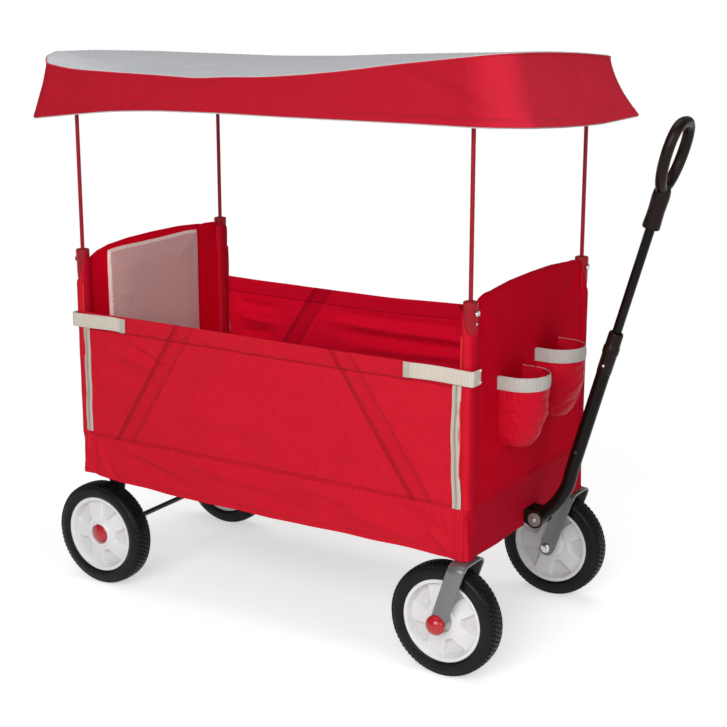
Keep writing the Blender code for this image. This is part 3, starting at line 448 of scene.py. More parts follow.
def remap(tree, value, low, high, start=0.0, end=1.0):
    spread = {"Value": value, "From Min": start, "From Max": end, "To Min": low, "To Max": high}
    return add(tree, "ShaderNodeMapRange", spread).outputs["Result"]


def blended(tree, factor, one, two, kind="MIX"):
    """Two colours mixed by a factor."""
    mix = add(tree, "ShaderNodeMix", {"Factor": factor}, data_type="RGBA", blend_type=kind)
    for key, value in (("A_Color", one), ("B_Color", two)):
        plug(tree, next(s for s in mix.inputs if s.identifier == key), value)
    return next(s for s in mix.outputs if s.identifier == "Result_Color")


def tinted(tree, colour, factor):
    """A colour times a value that changes over the surface."""
    return blended(tree, 1.0, colour, factor, "MULTIPLY")


def effect(name, inputs, outputs):
    """A shader node group with named sockets, and its two end nodes."""
    tree = bpy.data.node_groups.new(name, "ShaderNodeTree")
    for label, kind, default in inputs:
        socket = tree.interface.new_socket(label, in_out="INPUT", socket_type=kind)
        if default is not None:
            socket.default_value = default
    for label in outputs:
        tree.interface.new_socket(label, in_out="OUTPUT", socket_type="NodeSocketFloat")
    return tree, tree.nodes.new("NodeGroupInput"), tree.nodes.new("NodeGroupOutput")


VECTOR, FLOAT = "NodeSocketVector", "NodeSocketFloat"


def thread_turns(tree, start):
    """The first two coordinates of an effect's vector, half a turn for each thread."""
    rate = calc(tree, "DIVIDE", math.pi, start.outputs["Pitch"])
    scaled = add(tree, "ShaderNodeVectorMath", {0: start.outputs["Vector"], "Scale": rate}, operation="SCALE")
    return add(tree, "ShaderNodeSeparateXYZ", {0: scaled.outputs[0]}).outputs


def weave_effect():
    """Threads over and under each other across the first two coordinates."""
    tree, start, end = effect("plain_weave", [("Vector", VECTOR, None), ("Pitch", FLOAT, 0.0011)],
                              ["Height", "Shade"])
    turns = thread_turns(tree, start)
    crossing = calc(tree, "MULTIPLY", calc(tree, "SINE", turns[0]), calc(tree, "SINE", turns[1]))
    height = calc(tree, "MULTIPLY_ADD", crossing, 0.5, 0.5)
    tree.links.new(height, end.inputs["Height"])
    tree.links.new(remap(tree, height, 0.95, 1.03), end.inputs["Shade"])
    return tree


def rib_effect():
    """Cords side by side across the first coordinate, crossed by finer ones."""
    tree, start, end = effect("ribs", [("Vector", VECTOR, None), ("Pitch", FLOAT, 0.002)], ["Height", "Shade"])
    turns = thread_turns(tree, start)
    cord = calc(tree, "ABSOLUTE", calc(tree, "SINE", turns[0]))
    cross = calc(tree, "ABSOLUTE", calc(tree, "SINE", calc(tree, "MULTIPLY", turns[1], 1.7)))
    height = calc(tree, "MULTIPLY_ADD", cross, 0.25, calc(tree, "MULTIPLY", cord, 0.75))
    tree.links.new(height, end.inputs["Height"])
    tree.links.new(remap(tree, height, 0.72, 1.06), end.inputs["Shade"])
    return tree


def mottle_effect():
    """Slow and quick changes of tone, about 1."""
    tree, start, end = effect("mottle", [("Vector", VECTOR, None), ("Size", FLOAT, 0.12), ("Spread", FLOAT, 0.08)],
                              ["Tone"])
    rate = calc(tree, "DIVIDE", 1.0, start.outputs["Size"])
    slow = add(tree, "ShaderNodeTexNoise", {"Vector": start.outputs["Vector"], "Scale": rate, "Detail": 3.0})
    quick = add(tree, "ShaderNodeTexNoise", {"Vector": start.outputs["Vector"],
                                             "Scale": calc(tree, "MULTIPLY", rate, 11.0), "Detail": 2.0})
    both = calc(tree, "MULTIPLY_ADD", quick.outputs[0], 0.35, calc(tree, "MULTIPLY", slow.outputs[0], 0.65))
    swing = calc(tree, "MULTIPLY", calc(tree, "SUBTRACT", both, 0.5), 2.0)
    tone = calc(tree, "MULTIPLY_ADD", swing, start.outputs["Spread"], 1.0)
    tree.links.new(tone, end.inputs["Tone"])
    return tree


def crinkle_effect():
    """Small soft creases in a cloth, as a height."""
    tree, start, end = effect("crinkles", [("Vector", VECTOR, None), ("Size", FLOAT, 0.03)], ["Height"])
    rate = calc(tree, "DIVIDE", 1.0, start.outputs["Size"])
    field = add(tree, "ShaderNodeTexNoise", {"Vector": start.outputs["Vector"], "Scale": rate, "Detail": 3.0,
                                             "Distortion": 0.7})
    ridge = calc(tree, "ABSOLUTE", calc(tree, "SUBTRACT", field.outputs[0], 0.5))
    tree.links.new(remap(tree, ridge, 0.0, 1.0, 0.0, 0.25), end.inputs["Height"])
    return tree


def scuff_effect():
    """Scattered worn or dusty spots, from 0 to 1."""
    tree, start, end = effect("scuffs", [("Vector", VECTOR, None), ("Size", FLOAT, 0.02), ("Amount", FLOAT, 0.3)],
                              ["Mask"])
    rate = calc(tree, "DIVIDE", 1.0, start.outputs["Size"])
    broad = add(tree, "ShaderNodeTexNoise", {"Vector": start.outputs["Vector"], "Scale": rate, "Detail": 6.0,
                                             "Roughness": 0.7})
    low = calc(tree, "SUBTRACT", 0.78, calc(tree, "MULTIPLY", start.outputs["Amount"], 0.3))
    mask = add(tree, "ShaderNodeMapRange", {"Value": broad.outputs[0], "From Min": low,
                                            "From Max": calc(tree, "ADD", low, 0.12)})
    tree.links.new(mask.outputs["Result"], end.inputs["Mask"])
    return tree


def strip_effect():
    """A straight strip across the first two coordinates, 1 inside and 0 outside."""
    tree, start, end = effect("strip", [("Vector", VECTOR, None), ("Middle", VECTOR, None), ("Across", VECTOR, None),
                                        ("Half", FLOAT, 0.001), ("Soft", FLOAT, 0.001)], ["Mask"])
    away = add(tree, "ShaderNodeVectorMath", {0: start.outputs["Vector"], 1: start.outputs["Middle"]},
               operation="SUBTRACT")
    across = add(tree, "ShaderNodeVectorMath", {0: away.outputs[0], 1: start.outputs["Across"]},
                 operation="DOT_PRODUCT")
    beyond = calc(tree, "SUBTRACT", calc(tree, "ABSOLUTE", across.outputs["Value"]), start.outputs["Half"])
    mask = add(tree, "ShaderNodeMapRange", {"Value": beyond, "From Min": start.outputs["Soft"],
                                            "From Max": 0.0}, interpolation_type="SMOOTHSTEP")
    tree.links.new(mask.outputs["Result"], end.inputs["Mask"])
    return tree


EFFECTS = {"strip": strip_effect, "weave": weave_effect, "ribs": rib_effect, "mottle": mottle_effect,
           "crinkles": crinkle_effect, "scuffs": scuff_effect}
BUILT = {}


def use(tree, name, **inputs):
    """Place one of the shared effects in a material."""
    if name not in BUILT:
        BUILT[name] = EFFECTS[name]()
    node = tree.nodes.new("ShaderNodeGroup")
    node.node_tree = BUILT[name]
    for key, value in inputs.items():
        plug(tree, node.inputs[key], value)
    return node.outputs


def start_material(name):
    """A new material, its tree, its Principled shader and its object coordinates."""
    made = bpy.data.materials.new(name)
    made.use_nodes = True
    tree = made.node_tree
    shader = tree.nodes["Principled BSDF"]
    coordinates = add(tree, "ShaderNodeTexCoord").outputs["Object"]
    return made, tree, shader, coordinates


def set_sockets(shader, **values):
    for key, value in values.items():
        shader.inputs[key.replace("_", " ").title().replace("Ior", "IOR")].default_value = value


def wandering(tree, place, by):
    """Coordinates moved a little by noise, so that a sewn line is not ruler-straight."""
    field = add(tree, "ShaderNodeTexNoise", {"Vector": place, "Scale": 70.0, "Detail": 2.0})
    centred = add(tree, "ShaderNodeVectorMath", {0: field.outputs["Color"], 1: (0.5, 0.5, 0.5)},
                  operation="SUBTRACT")
    moved = add(tree, "ShaderNodeVectorMath", {0: centred.outputs[0], "Scale": by}, operation="SCALE")
    return add(tree, "ShaderNodeVectorMath", {0: place, 1: moved.outputs[0]}, operation="ADD").outputs[0]


def woven(name, colour, pitch=0.0011, along="cloth", spread=0.07, crinkle=0.0006, size=0.035,
          roughness=0.78, sheen=0.0, ribs=False, painted_light_level=1.0, specular=0.1, strips=(), front=None):
    """A woven cloth or webbing: threads, slow changes of tone and small creases. Its colour can be scaled to paint a
    lighter or darker copy of a cloth, and tinted on faces turned to the wagon's front as painted shade or light.
    """
    made, tree, shader, place = start_material(name)
    if along == "cloth":
        threads = add(tree, "ShaderNodeUVMap", uv_map="cloth").outputs[0]
    else:
        parts = add(tree, "ShaderNodeSeparateXYZ", {0: place})
        first, second = {"yz": (1, 2), "xy": (0, 1), "xz": (0, 2)}[along]
        threads = add(tree, "ShaderNodeCombineXYZ", {0: parts.outputs[first], 1: parts.outputs[second]}).outputs[0]
    if ribs == "across":
        parts = add(tree, "ShaderNodeSeparateXYZ", {0: threads})
        threads = add(tree, "ShaderNodeCombineXYZ", {0: parts.outputs[1], 1: parts.outputs[0]}).outputs[0]
    fabric = use(tree, "ribs" if ribs else "weave", Vector=threads, Pitch=pitch)
    tone = use(tree, "mottle", Vector=place, Size=0.11, Spread=spread)["Tone"]
    # The colour scaled up or down here is painted light or shade: a lit or shaded copy of the same cloth.
    base = tinted(tree, (*[c * painted_light_level for c in colour], 1), calc(tree, "MULTIPLY", tone, fabric["Shade"]))
    threads = wandering(tree, threads, 0.004) if strips else threads
    for middle, across, half, soft, strength in strips:
        mask = use(tree, "strip", Vector=threads, Middle=middle, Across=across, Half=half, Soft=soft)["Mask"]
        base = tinted(tree, base, remap(tree, mask, 1.0, strength))
    # Faces turned to the front of the wagon are tinted darker or lighter: painted shade or light that follows which
    # way they face.
    if front is not None:
        facing = add(tree, "ShaderNodeAttribute", attribute_name="front").outputs["Fac"]
        base = blended(tree, facing, base, tinted(tree, base, (*front, 1)))
    tree.links.new(base, shader.inputs["Base Color"])
    creases = use(tree, "crinkles", Vector=place, Size=size)["Height"]
    height = calc(tree, "MULTIPLY_ADD", fabric["Height"], 0.00005 if not ribs else 0.0005,
                  calc(tree, "MULTIPLY", creases, crinkle))
    relief = add(tree, "ShaderNodeBump", {"Height": height, "Distance": 1.0, "Strength": 0.8})
    tree.links.new(relief.outputs[0], shader.inputs["Normal"])
    tree.links.new(remap(tree, tone, roughness - 0.06, roughness + 0.06, 0.9, 1.1), shader.inputs["Roughness"])
    set_sockets(shader, sheen_weight=sheen, sheen_roughness=0.45, specular_ior_level=specular,
                specular_tint=(*[0.15 + 0.85 * c for c in colour], 1))
    return made


def moulded(name, colour, roughness=0.4, metallic=0.0, coat=0.0, grain=0.0004, depth=0.00004, spread=0.05,
            scuff=0.25, worn=None, dust=0.0, specular=0.5, hollow_shade=1.0):
    """Plastic, paint or metal: a fine grain, changes of tone, and scuffs that are duller or show what is under, with
    painted shade darkening the hollows that a mesh marks.
    """
    made, tree, shader, place = start_material(name)
    tone = use(tree, "mottle", Vector=place, Size=0.05, Spread=spread)["Tone"]
    base = tinted(tree, (*colour, 1), tone)
    # Painted shade: the colour darkens where the mesh marks its pockets and recesses.
    if hollow_shade < 1.0:
        deep = add(tree, "ShaderNodeAttribute", attribute_name="hollow_shade").outputs["Fac"]
        base = tinted(tree, base, remap(tree, deep, 1.0, hollow_shade))
    mask = use(tree, "scuffs", Vector=place, Size=0.012, Amount=scuff)["Mask"]
    if worn is not None:
        base = blended(tree, calc(tree, "MULTIPLY", mask, 0.35), base, (*worn, 1))
    if dust:
        film = use(tree, "scuffs", Vector=place, Size=0.05, Amount=0.8)["Mask"]
        base = blended(tree, calc(tree, "MULTIPLY", film, dust), base, (0.36, 0.33, 0.3, 1))
    tree.links.new(base, shader.inputs["Base Color"])
    dull = calc(tree, "MULTIPLY_ADD", mask, 0.12, calc(tree, "MULTIPLY", tone, roughness))
    tree.links.new(dull, shader.inputs["Roughness"])
    field = add(tree, "ShaderNodeTexNoise", {"Vector": place, "Scale": 1 / grain, "Detail": 2.0})
    relief = add(tree, "ShaderNodeBump", {"Height": field.outputs[0], "Distance": depth, "Strength": 0.6})
    tree.links.new(relief.outputs[0], shader.inputs["Normal"])
    set_sockets(shader, metallic=metallic, coat_weight=coat, coat_roughness=0.15, specular_ior_level=specular)
    return made


def brushed(name, colour, roughness, **more):
    """Bright metal drawn one way, from a noise stretched along it."""
    made = moulded(name, colour, roughness, 1.0, **more)
    tree = made.node_tree
    place = next(n for n in tree.nodes if n.type == "TEX_COORD").outputs["Object"]
    stretched = add(tree, "ShaderNodeMapping", {"Vector": place, "Scale": (1.0, 1.0, 12.0)})
    lines = add(tree, "ShaderNodeTexNoise", {"Vector": stretched.outputs[0], "Scale": 260.0, "Detail": 2.0})
    shader = tree.nodes["Principled BSDF"]
    tree.links.new(remap(tree, lines.outputs[0], roughness - 0.08, roughness + 0.14, 0.3, 0.7),
                   shader.inputs["Roughness"])
    return made


def side_strips(band_tone, hem_tone):
    """The hem, the slanted bands and the sewn lines of a long side, as strips of its own UV in metres; the thin dark
    strips along the sewn lines are painted shade.
    """
    s = settings("cloth")
    hem_line = SIDE_TOP - s.hem_band
    strips = [((0.0, SIDE_TOP, 0.0), (0.0, 1.0, 0.0), s.hem_band, 0.0008, hem_tone),
              # Painted shade: a thin dark line below the hem's fold, and one above the bottom seam, where the cloth
              # creases.
              ((0.0, hem_line - 0.0008, 0.0), (0.0, 1.0, 0.0), 0.0005, 0.0016, 0.62),
              ((0.0, SEAM_Z + 0.0045, 0.0), (0.0, 1.0, 0.0), 0.0004, 0.0018, 0.7)]
    for top, foot in zip(BAND_TOP, BAND_FOOT):
        run = Vector((top - foot, SIDE_TOP - SEAM_Z)).normalized()
        across = (run.y, -run.x, 0.0)
        half = s.band / 2 * run.y

        def at(offset):
            return (foot + across[0] * offset, SEAM_Z + across[1] * offset, 0.0)
        strips.append((at(0.0), across, half, 0.0008, band_tone))
        # Painted shade: thin dark lines along both edges of each band, where its stitching puckers.
        for offset, line, soft, tone in ((-half, 0.0015, 0.0014, 0.66), (0.0052 - half, 0.001, 0.0016, 0.74),
                                         (half, 0.0007, 0.0014, 0.74), (half - 0.005, 0.0005, 0.0014, 0.86)):
            strips.append((at(offset), across, line, soft, tone))
    return strips


FINISHES = {}


def make_finishes():
    """Every finish of the wagon, by the name that the pieces ask for."""
    c = settings("colours")
    red, dark = c.cloth, c.cloth_dark
    FINISHES.update({
        "side cloth": woven("side_cloth", red, crinkle=0.0015, size=0.05, spread=0.11, strips=side_strips(0.96, 0.97)),
        # The far side is a lit copy of the side cloth: its colour is painted 1.45 times lighter, as painted light on
        # its shaded inside.
        "far cloth": woven("far_cloth", (red[0], 0.3 * red[1], 0.8 * red[2]), crinkle=0.0014, size=0.05,
                           painted_light_level=1.45, specular=0.05, strips=side_strips(0.8, 0.84)),
        # The skirts and corner rolls are darker on faces turned to the front: painted shade.
        "skirt cloth": woven("skirt_cloth", red, crinkle=0.001, size=0.045, spread=0.11, front=(0.74, 0.25, 0.65)),
        # The front wall is a shaded copy of the red, painted darker, and the rear wall's inside a lit copy, painted
        # 1.3 times lighter.
        "wall cloth": woven("wall_cloth", (red[0], 0.15 * red[1], 0.6 * red[2]), crinkle=0.0008, size=0.06,
                            spread=0.08, painted_light_level=0.92, specular=0.04),
        "rear wall cloth": woven("rear_wall_cloth", (red[0], 0.1 * red[1], 0.5 * red[2]), crinkle=0.0008, size=0.06,
                                 spread=0.08, painted_light_level=1.3, specular=0.04),
        "band cloth": woven("band_cloth", dark, crinkle=0.0012, size=0.018),
        "pouch nylon": woven("pouch_nylon", c.nylon, pitch=0.0007, crinkle=0.0026, size=0.03,
                             roughness=0.5, specular=0.22),
        # The canopy's red is lighter on faces turned to the front: painted light.
        "canopy red": woven("canopy_red_cloth", c.canopy, pitch=0.001, crinkle=0.0012, size=0.07,
                            spread=0.12, front=(1.45, 2.0, 1.9)),
        "canopy grey": woven("canopy_grey_cloth", c.canopy_top, pitch=0.001, crinkle=0.002, size=0.05,
                             spread=0.1),
        "hem lining": woven("hem_lining", (0.62, 0.63, 0.64), pitch=0.001, crinkle=0.0006),
        "pad cloth": woven("pad_cloth", c.pad, along="yz", pitch=0.0014, crinkle=0.0004, spread=0.04,
                           sheen=0.1),
        "pad binding": woven("pad_binding", c.pad_edge, along="yz", pitch=0.0014, crinkle=0.0002, spread=0.04),
        "floor cloth": woven("floor_cloth", dark, pitch=0.0012, crinkle=0.0008),
        "board cloth": woven("board_cloth", (0.018, 0.018, 0.02), along="xy", pitch=0.0013, crinkle=0.0005),
        "webbing": woven("webbing", c.webbing, pitch=0.0036, ribs="across", crinkle=0.0003, spread=0.06,
                         roughness=0.85),
        "webbing end": woven("webbing_end", tuple(0.72 * v for v in c.webbing), pitch=0.0011, crinkle=0.0003),
        "elastic": woven("elastic", c.elastic, pitch=0.0013, ribs=True, crinkle=0.0012, size=0.02,
                         roughness=0.7),
        "zip tape": woven("zip_tape", c.zip_tape, pitch=0.0009, crinkle=0.0004, spread=0.05),
        "zip coil": moulded("zip_coil", tuple(0.84 * v for v in c.zip_tape), 0.45, spread=0.03),
        "thread": moulded("thread", tuple(0.55 * v for v in red), 0.6, spread=0.1),
        "pale thread": moulded("pale_thread", (0.55, 0.5, 0.45), 0.6, spread=0.1),
        # The corner piping is real, but its brighter, more orange red is partly a painted highlight along the corner.
        "piping": woven("piping", (0.62, 0.026, 0.024), pitch=0.0009, crinkle=0.0002, roughness=0.5, specular=0.2),
        "canopy piping": woven("canopy_piping", (0.52, 0.018, 0.034), pitch=0.0009, crinkle=0.0002, roughness=0.55,
                               specular=0.2),
        "red moulding": moulded("red_moulding", (0.31, 0.006, 0.014), 0.36, scuff=0.2, specular=0.2),
        "cap moulding": moulded("cap_moulding", (0.46, 0.006, 0.012), 0.2, coat=0.35, scuff=0.2, specular=0.4),
        "pole paint": moulded("pole_paint", c.pole, 0.35, scuff=0.15, specular=0.2),
        "black steel": moulded("black_steel", (0.02, 0.02, 0.022), 0.42, coat=0.1, scuff=0.45,
                               worn=(0.1, 0.1, 0.1), dust=0.1),
        "fork paint": moulded("fork_paint", c.fork, 0.34, 0.55, scuff=0.4, worn=(0.42, 0.42, 0.42)),
        "bright steel": brushed("bright_steel_finish", (0.72, 0.72, 0.72), 0.26, spread=0.05),
        "tyre rubber": moulded("tyre_rubber", (0.0045, 0.0045, 0.005), 0.36, grain=0.0007, depth=0.00006,
                               scuff=0.6, worn=(0.014, 0.014, 0.014), dust=0.01, specular=0.18),
        # The wheels' pockets are painted darker: painted shade.
        "white moulding": moulded("white_moulding", c.wheel, 0.38, coat=0.08, spread=0.025, scuff=0.3,
                                  hollow_shade=0.84, worn=(0.55, 0.54, 0.52)),
        "handle paint": moulded("handle_paint", c.handle, 0.28, scuff=0.3, specular=0.12,
                                worn=(0.03, 0.022, 0.018)),
        "handle moulding": moulded("handle_moulding", c.grip, 0.3, grain=0.0011, depth=0.00006,
                                   scuff=0.3, specular=0.14),
        "grey moulding": moulded("grey_moulding", (0.16, 0.14, 0.12), 0.4, scuff=0.4),
        "spacer": moulded("spacer", (0.5, 0.46, 0.4), 0.4, scuff=0.3),
    })
    return FINISHES


def finish(name):
    if not FINISHES:
        make_finishes()
    return FINISHES[name]


# Settings that a user would change

def colour_setting(name, description, value):
    return bpy.props.FloatVectorProperty(name=name, description=description, default=value, subtype="COLOR",
                                         size=3, min=0.0, max=1.0)


def length_setting(name, description, value):
    return bpy.props.FloatProperty(name=name, description=description, default=value, min=0.0, unit="LENGTH",
                                   precision=4)


def count_setting(name, description, value):
    return bpy.props.IntProperty(name=name, description=description, default=value, min=1)


class WagonColours(bpy.types.PropertyGroup):
    """Colours of the cloths, mouldings and paints, as linear values."""
    cloth: colour_setting("Cloth", "Red of the sides, the end walls and the skirts", (0.56, 0.0115, 0.026))
    cloth_dark: colour_setting("Bands", "Deeper red of the slanted bands and the floor", (0.4, 0.003, 0.014))
    nylon: colour_setting("Nylon", "Red of the two cup pouches", (0.52, 0.005, 0.02))
    canopy: colour_setting("Canopy skirt", "Red of the canopy's skirt", (0.42, 0.011, 0.024))
    canopy_top: colour_setting("Canopy roof", "Grey of the canopy's roof", (0.51, 0.52, 0.54))
    pad: colour_setting("Back pad", "Taupe of the back pads", (0.72, 0.42, 0.41))
    pad_edge: colour_setting("Pad edge", "Beige of the back pads' turned edge", (0.85, 0.68, 0.62))
    webbing: colour_setting("Webbing", "Off-white of the corner straps and the pull strap", (0.64, 0.58, 0.5))
    elastic: colour_setting("Elastic", "Pale grey of the bands at the pouches' mouths", (0.54, 0.51, 0.48))
    zip_tape: colour_setting("Zip tape", "Grey-beige of the zips", (0.5, 0.45, 0.39))
    pole: colour_setting("Poles", "Deep red of the canopy's poles", (0.31, 0.004, 0.014))
    fork: colour_setting("Forks", "Grey of the casters' forks", (0.18, 0.18, 0.185))
    wheel: colour_setting("Wheels", "White of the moulded wheels", (0.78, 0.77, 0.77))
    handle: colour_setting("Handle", "Brown-black of the handle's tubes", (0.006, 0.004, 0.0032))
    grip: colour_setting("Grip", "Brown-black of the grip and the collar", (0.012, 0.006, 0.0045))


class WagonCloth(bpy.types.PropertyGroup):
    """How the cloth is sewn and how much it creases."""
    rumple: bpy.props.FloatProperty(name="Rumple", description="How deep the soft creases are",
                                    default=1.0, min=0.0, max=2.0)
    stitch: length_setting("Stitch", "From one stitch to the next along a seam", 0.0042)
    thread: length_setting("Thread", "Thickness of the sewing thread", 0.0008)
    hem_band: length_setting("Top hem", "Depth of the hem along the top of a long side", 0.03)
    band: length_setting("Slanted band", "Width of the slanted bands sewn on the long sides", 0.04)


class WagonWheels(bpy.types.PropertyGroup):
    """The wheels' pockets and tread."""
    pockets: count_setting("Pockets", "Pockets between the spokes of each wheel", 5)
    blocks: count_setting("Tread blocks", "Blocks in each row round a tyre", 72)
    rows: count_setting("Tread rows", "Rows of blocks across a tyre", 5)
    block_height: length_setting("Block height", "How far the blocks stand out of the tyre", 0.0013)


class WagonCanopy(bpy.types.PropertyGroup):
    """The canopy's crown and piping."""
    crown: length_setting("Crown", "How far the roof rises between its long edges", 0.006)
    piping: length_setting("Piping", "Radius of the piping between roof and skirt", 0.0014)


class WagonStage(bpy.types.PropertyGroup):
    """Camera and lights."""
    lens: bpy.props.FloatProperty(name="Lens", description="Focal length on a 36 mm sensor", default=79.57,
                                  min=10.0, unit="CAMERA")
    camera: bpy.props.FloatVectorProperty(name="Camera", description="Where the camera stands",
                                          default=(1.4995, -2.4328, 1.2043), subtype="XYZ", unit="LENGTH")
    key: bpy.props.FloatProperty(name="Key light", description="Power of the large light at the near side",
                                 default=80.0, min=0.0, unit="POWER")
    side: bpy.props.FloatProperty(name="Side light", description="Power of the light off to the front",
                                  default=20.0, min=0.0, unit="POWER")
    top: bpy.props.FloatProperty(name="Top light", description="Power of the light overhead",
                                 default=30.0, min=0.0, unit="POWER")
    surround: bpy.props.FloatProperty(name="Surround", description="Strength of the white all round",
                                      default=0.25, min=0.0)


# Stage

CAMERA_AXES = {
    "right": (0.84809, 0.52986, 0.00036),
    "up": (-0.1335, 0.21302, 0.96789),
    "back": (0.51276, -0.8209, 0.25139),
}


def floor_material():
    """Pale floor that keeps the shadow near the wagon and turns into plain white further off."""
    made, tree, shader, place = start_material("pale_floor")
    set_sockets(shader, roughness=0.9, specular_ior_level=0.1)
    grain = use(tree, "mottle", Vector=place, Size=0.9, Spread=0.01)["Tone"]
    tree.links.new(tinted(tree, (0.88, 0.88, 0.88, 1), grain), shader.inputs["Base Color"])
    path = add(tree, "ShaderNodeLightPath")
    seen = calc(tree, "MAXIMUM", path.outputs["Is Camera Ray"], path.outputs["Is Glossy Ray"])
    seen = calc(tree, "MAXIMUM", seen, path.outputs["Is Transmission Ray"])
    far = remap(tree, add(tree, "ShaderNodeVectorMath", {0: place}, operation="LENGTH").outputs["Value"],
                0.0, 1.0, 0.55, 1.25)
    glow = add(tree, "ShaderNodeEmission", {"Color": (1, 1, 1, 1), "Strength": 1.0})
    lit = add(tree, "ShaderNodeEmission", {"Color": (1, 1, 1, 1), "Strength": calc(tree, "MULTIPLY", seen, 0.5)})
    both = add(tree, "ShaderNodeAddShader", {0: shader.outputs[0], 1: lit.outputs[0]})
    mix = add(tree, "ShaderNodeMixShader", {0: calc(tree, "MULTIPLY", far, seen), 1: both.outputs[0],
                                            2: glow.outputs[0]})
    tree.links.new(mix.outputs[0], tree.nodes["Material Output"].inputs["Surface"])
    return made


def soft_light(name, place, size, power):
    """A rectangular lamp turned to the wagon's middle."""
    data = bpy.data.lights.new(name, "AREA")
    data.shape = "RECTANGLE"
    data.size, data.size_y = size
    data.energy = power
    obj = bpy.data.objects.new(name, data)
    obj.location = place
    obj.rotation_euler = (Vector((0.0, 0.0, 0.45)) - Vector(place)).to_track_quat("-Z", "Y").to_euler()
    bpy.context.scene.collection.objects.link(obj)


class WAGON_OT_stage(bpy.types.Operator):
    """Camera, lights, white surround and floor"""
    bl_idname = "wagon.stage"
    bl_label = "Stage"

    def execute(self, context):
        s = settings("stage")
        scene = context.scene
        scene.view_settings.view_transform = "Standard"
        data = bpy.data.cameras.new("camera")
        data.lens = s.lens
        camera = bpy.data.objects.new("camera", data)
        axes = Matrix([CAMERA_AXES["right"], CAMERA_AXES["up"], CAMERA_AXES["back"]]).transposed()
        camera.matrix_world = Matrix.Translation(s.camera) @ axes.to_4x4()
        scene.collection.objects.link(camera)
        scene.camera = camera

        size = 40.0
        mesh = bpy.data.meshes.new("floor")
        mesh.from_pydata([(-size, -size, 0), (size, -size, 0), (size, size, 0), (-size, size, 0)], [],
                         [(0, 1, 2, 3)])
        floor = bpy.data.objects.new("floor", mesh)
        mesh.materials.append(floor_material())
        scene.collection.objects.link(floor)

        soft_light("key_light", (0.9, -3.1, 1.9), (2.4, 1.8), s.key)
        soft_light("side_light", (3.2, -1.4, 1.3), (1.8, 1.8), s.side)
        soft_light("top_light", (0.0, 0.2, 3.2), (2.6, 2.2), s.top)

        world = bpy.data.worlds.new("white_surround")
        scene.world = world
        world.use_nodes = True
        tree = world.node_tree
        shader = tree.nodes["Background"]
        path = add(tree, "ShaderNodeLightPath")
        seen = calc(tree, "MAXIMUM", path.outputs["Is Camera Ray"], path.outputs["Is Transmission Ray"])
        strength = calc(tree, "MULTIPLY_ADD", seen, 1.0 - s.surround, s.surround)
        shader.inputs["Color"].default_value = (1, 1, 1, 1)
        tree.links.new(strength, shader.inputs["Strength"])
        return {"FINISHED"}


# Long sides and skirts

BAND_TOP = (-0.162, 0.168)
BAND_FOOT = (-0.312, 0.332)
FAR_TOP = ((-0.4, 0.5355), (-0.2, 0.5325), (0.0, 0.5335), (0.16, 0.5385), (0.4, 0.543))
BAND_LEAN = 0.85
# Soft folds on each long side as (x0, z0, x1, z1, width, height)
NEAR_FOLDS = (
    (-0.3, 0.508, -0.205, 0.47, 0.006, 0.0019), (-0.285, 0.494, -0.215, 0.463, 0.005, -0.0016),
    (-0.36, 0.488, -0.23, 0.452, 0.011, 0.0017), (-0.34, 0.45, -0.25, 0.436, 0.012, -0.0012),
    (-0.37, 0.4, -0.27, 0.412, 0.014, 0.0012), (-0.36, 0.345, -0.3, 0.362, 0.01, -0.0012),
    (-0.1, 0.49, 0.11, 0.484, 0.013, 0.0012), (-0.06, 0.44, 0.16, 0.452, 0.017, -0.0011),
    (-0.18, 0.38, 0.05, 0.372, 0.019, 0.0013), (0.04, 0.345, 0.25, 0.338, 0.014, -0.001),
    (0.19, 0.5, 0.3, 0.506, 0.007, 0.0013), (0.215, 0.47, 0.345, 0.48, 0.012, 0.0011),
    (0.25, 0.43, 0.372, 0.436, 0.013, -0.0012), (0.29, 0.385, 0.372, 0.376, 0.012, 0.0011),
    (-0.12, 0.326, 0.12, 0.322, 0.008, 0.0008),
)
FAR_FOLDS = (
    (-0.395, 0.49, -0.28, 0.486, 0.009, 0.003), (-0.38, 0.46, -0.27, 0.452, 0.008, -0.0026),
    (-0.395, 0.425, -0.29, 0.43, 0.01, 0.0028), (-0.14, 0.498, 0.17, 0.496, 0.008, 0.0024),
    (-0.15, 0.478, 0.2, 0.47, 0.0075, -0.0026), (-0.12, 0.456, 0.24, 0.45, 0.009, 0.0028),
    (-0.1, 0.43, 0.26, 0.436, 0.009, -0.0022), (-0.24, 0.4, 0.1, 0.392, 0.013, 0.0022),
    (-0.05, 0.35, 0.28, 0.362, 0.015, -0.0018), (0.18, 0.504, 0.38, 0.5, 0.007, 0.002),
    (0.23, 0.48, 0.39, 0.474, 0.008, -0.0022), (-0.36, 0.36, -0.1, 0.35, 0.014, 0.0018),
)


def band_middle(index, z):
    """Where the middle of a slanted band is at each height."""
    share = (z - SEAM_Z) / (SIDE_TOP - SEAM_Z)
    return BAND_FOOT[index] + (BAND_TOP[index] - BAND_FOOT[index]) * share


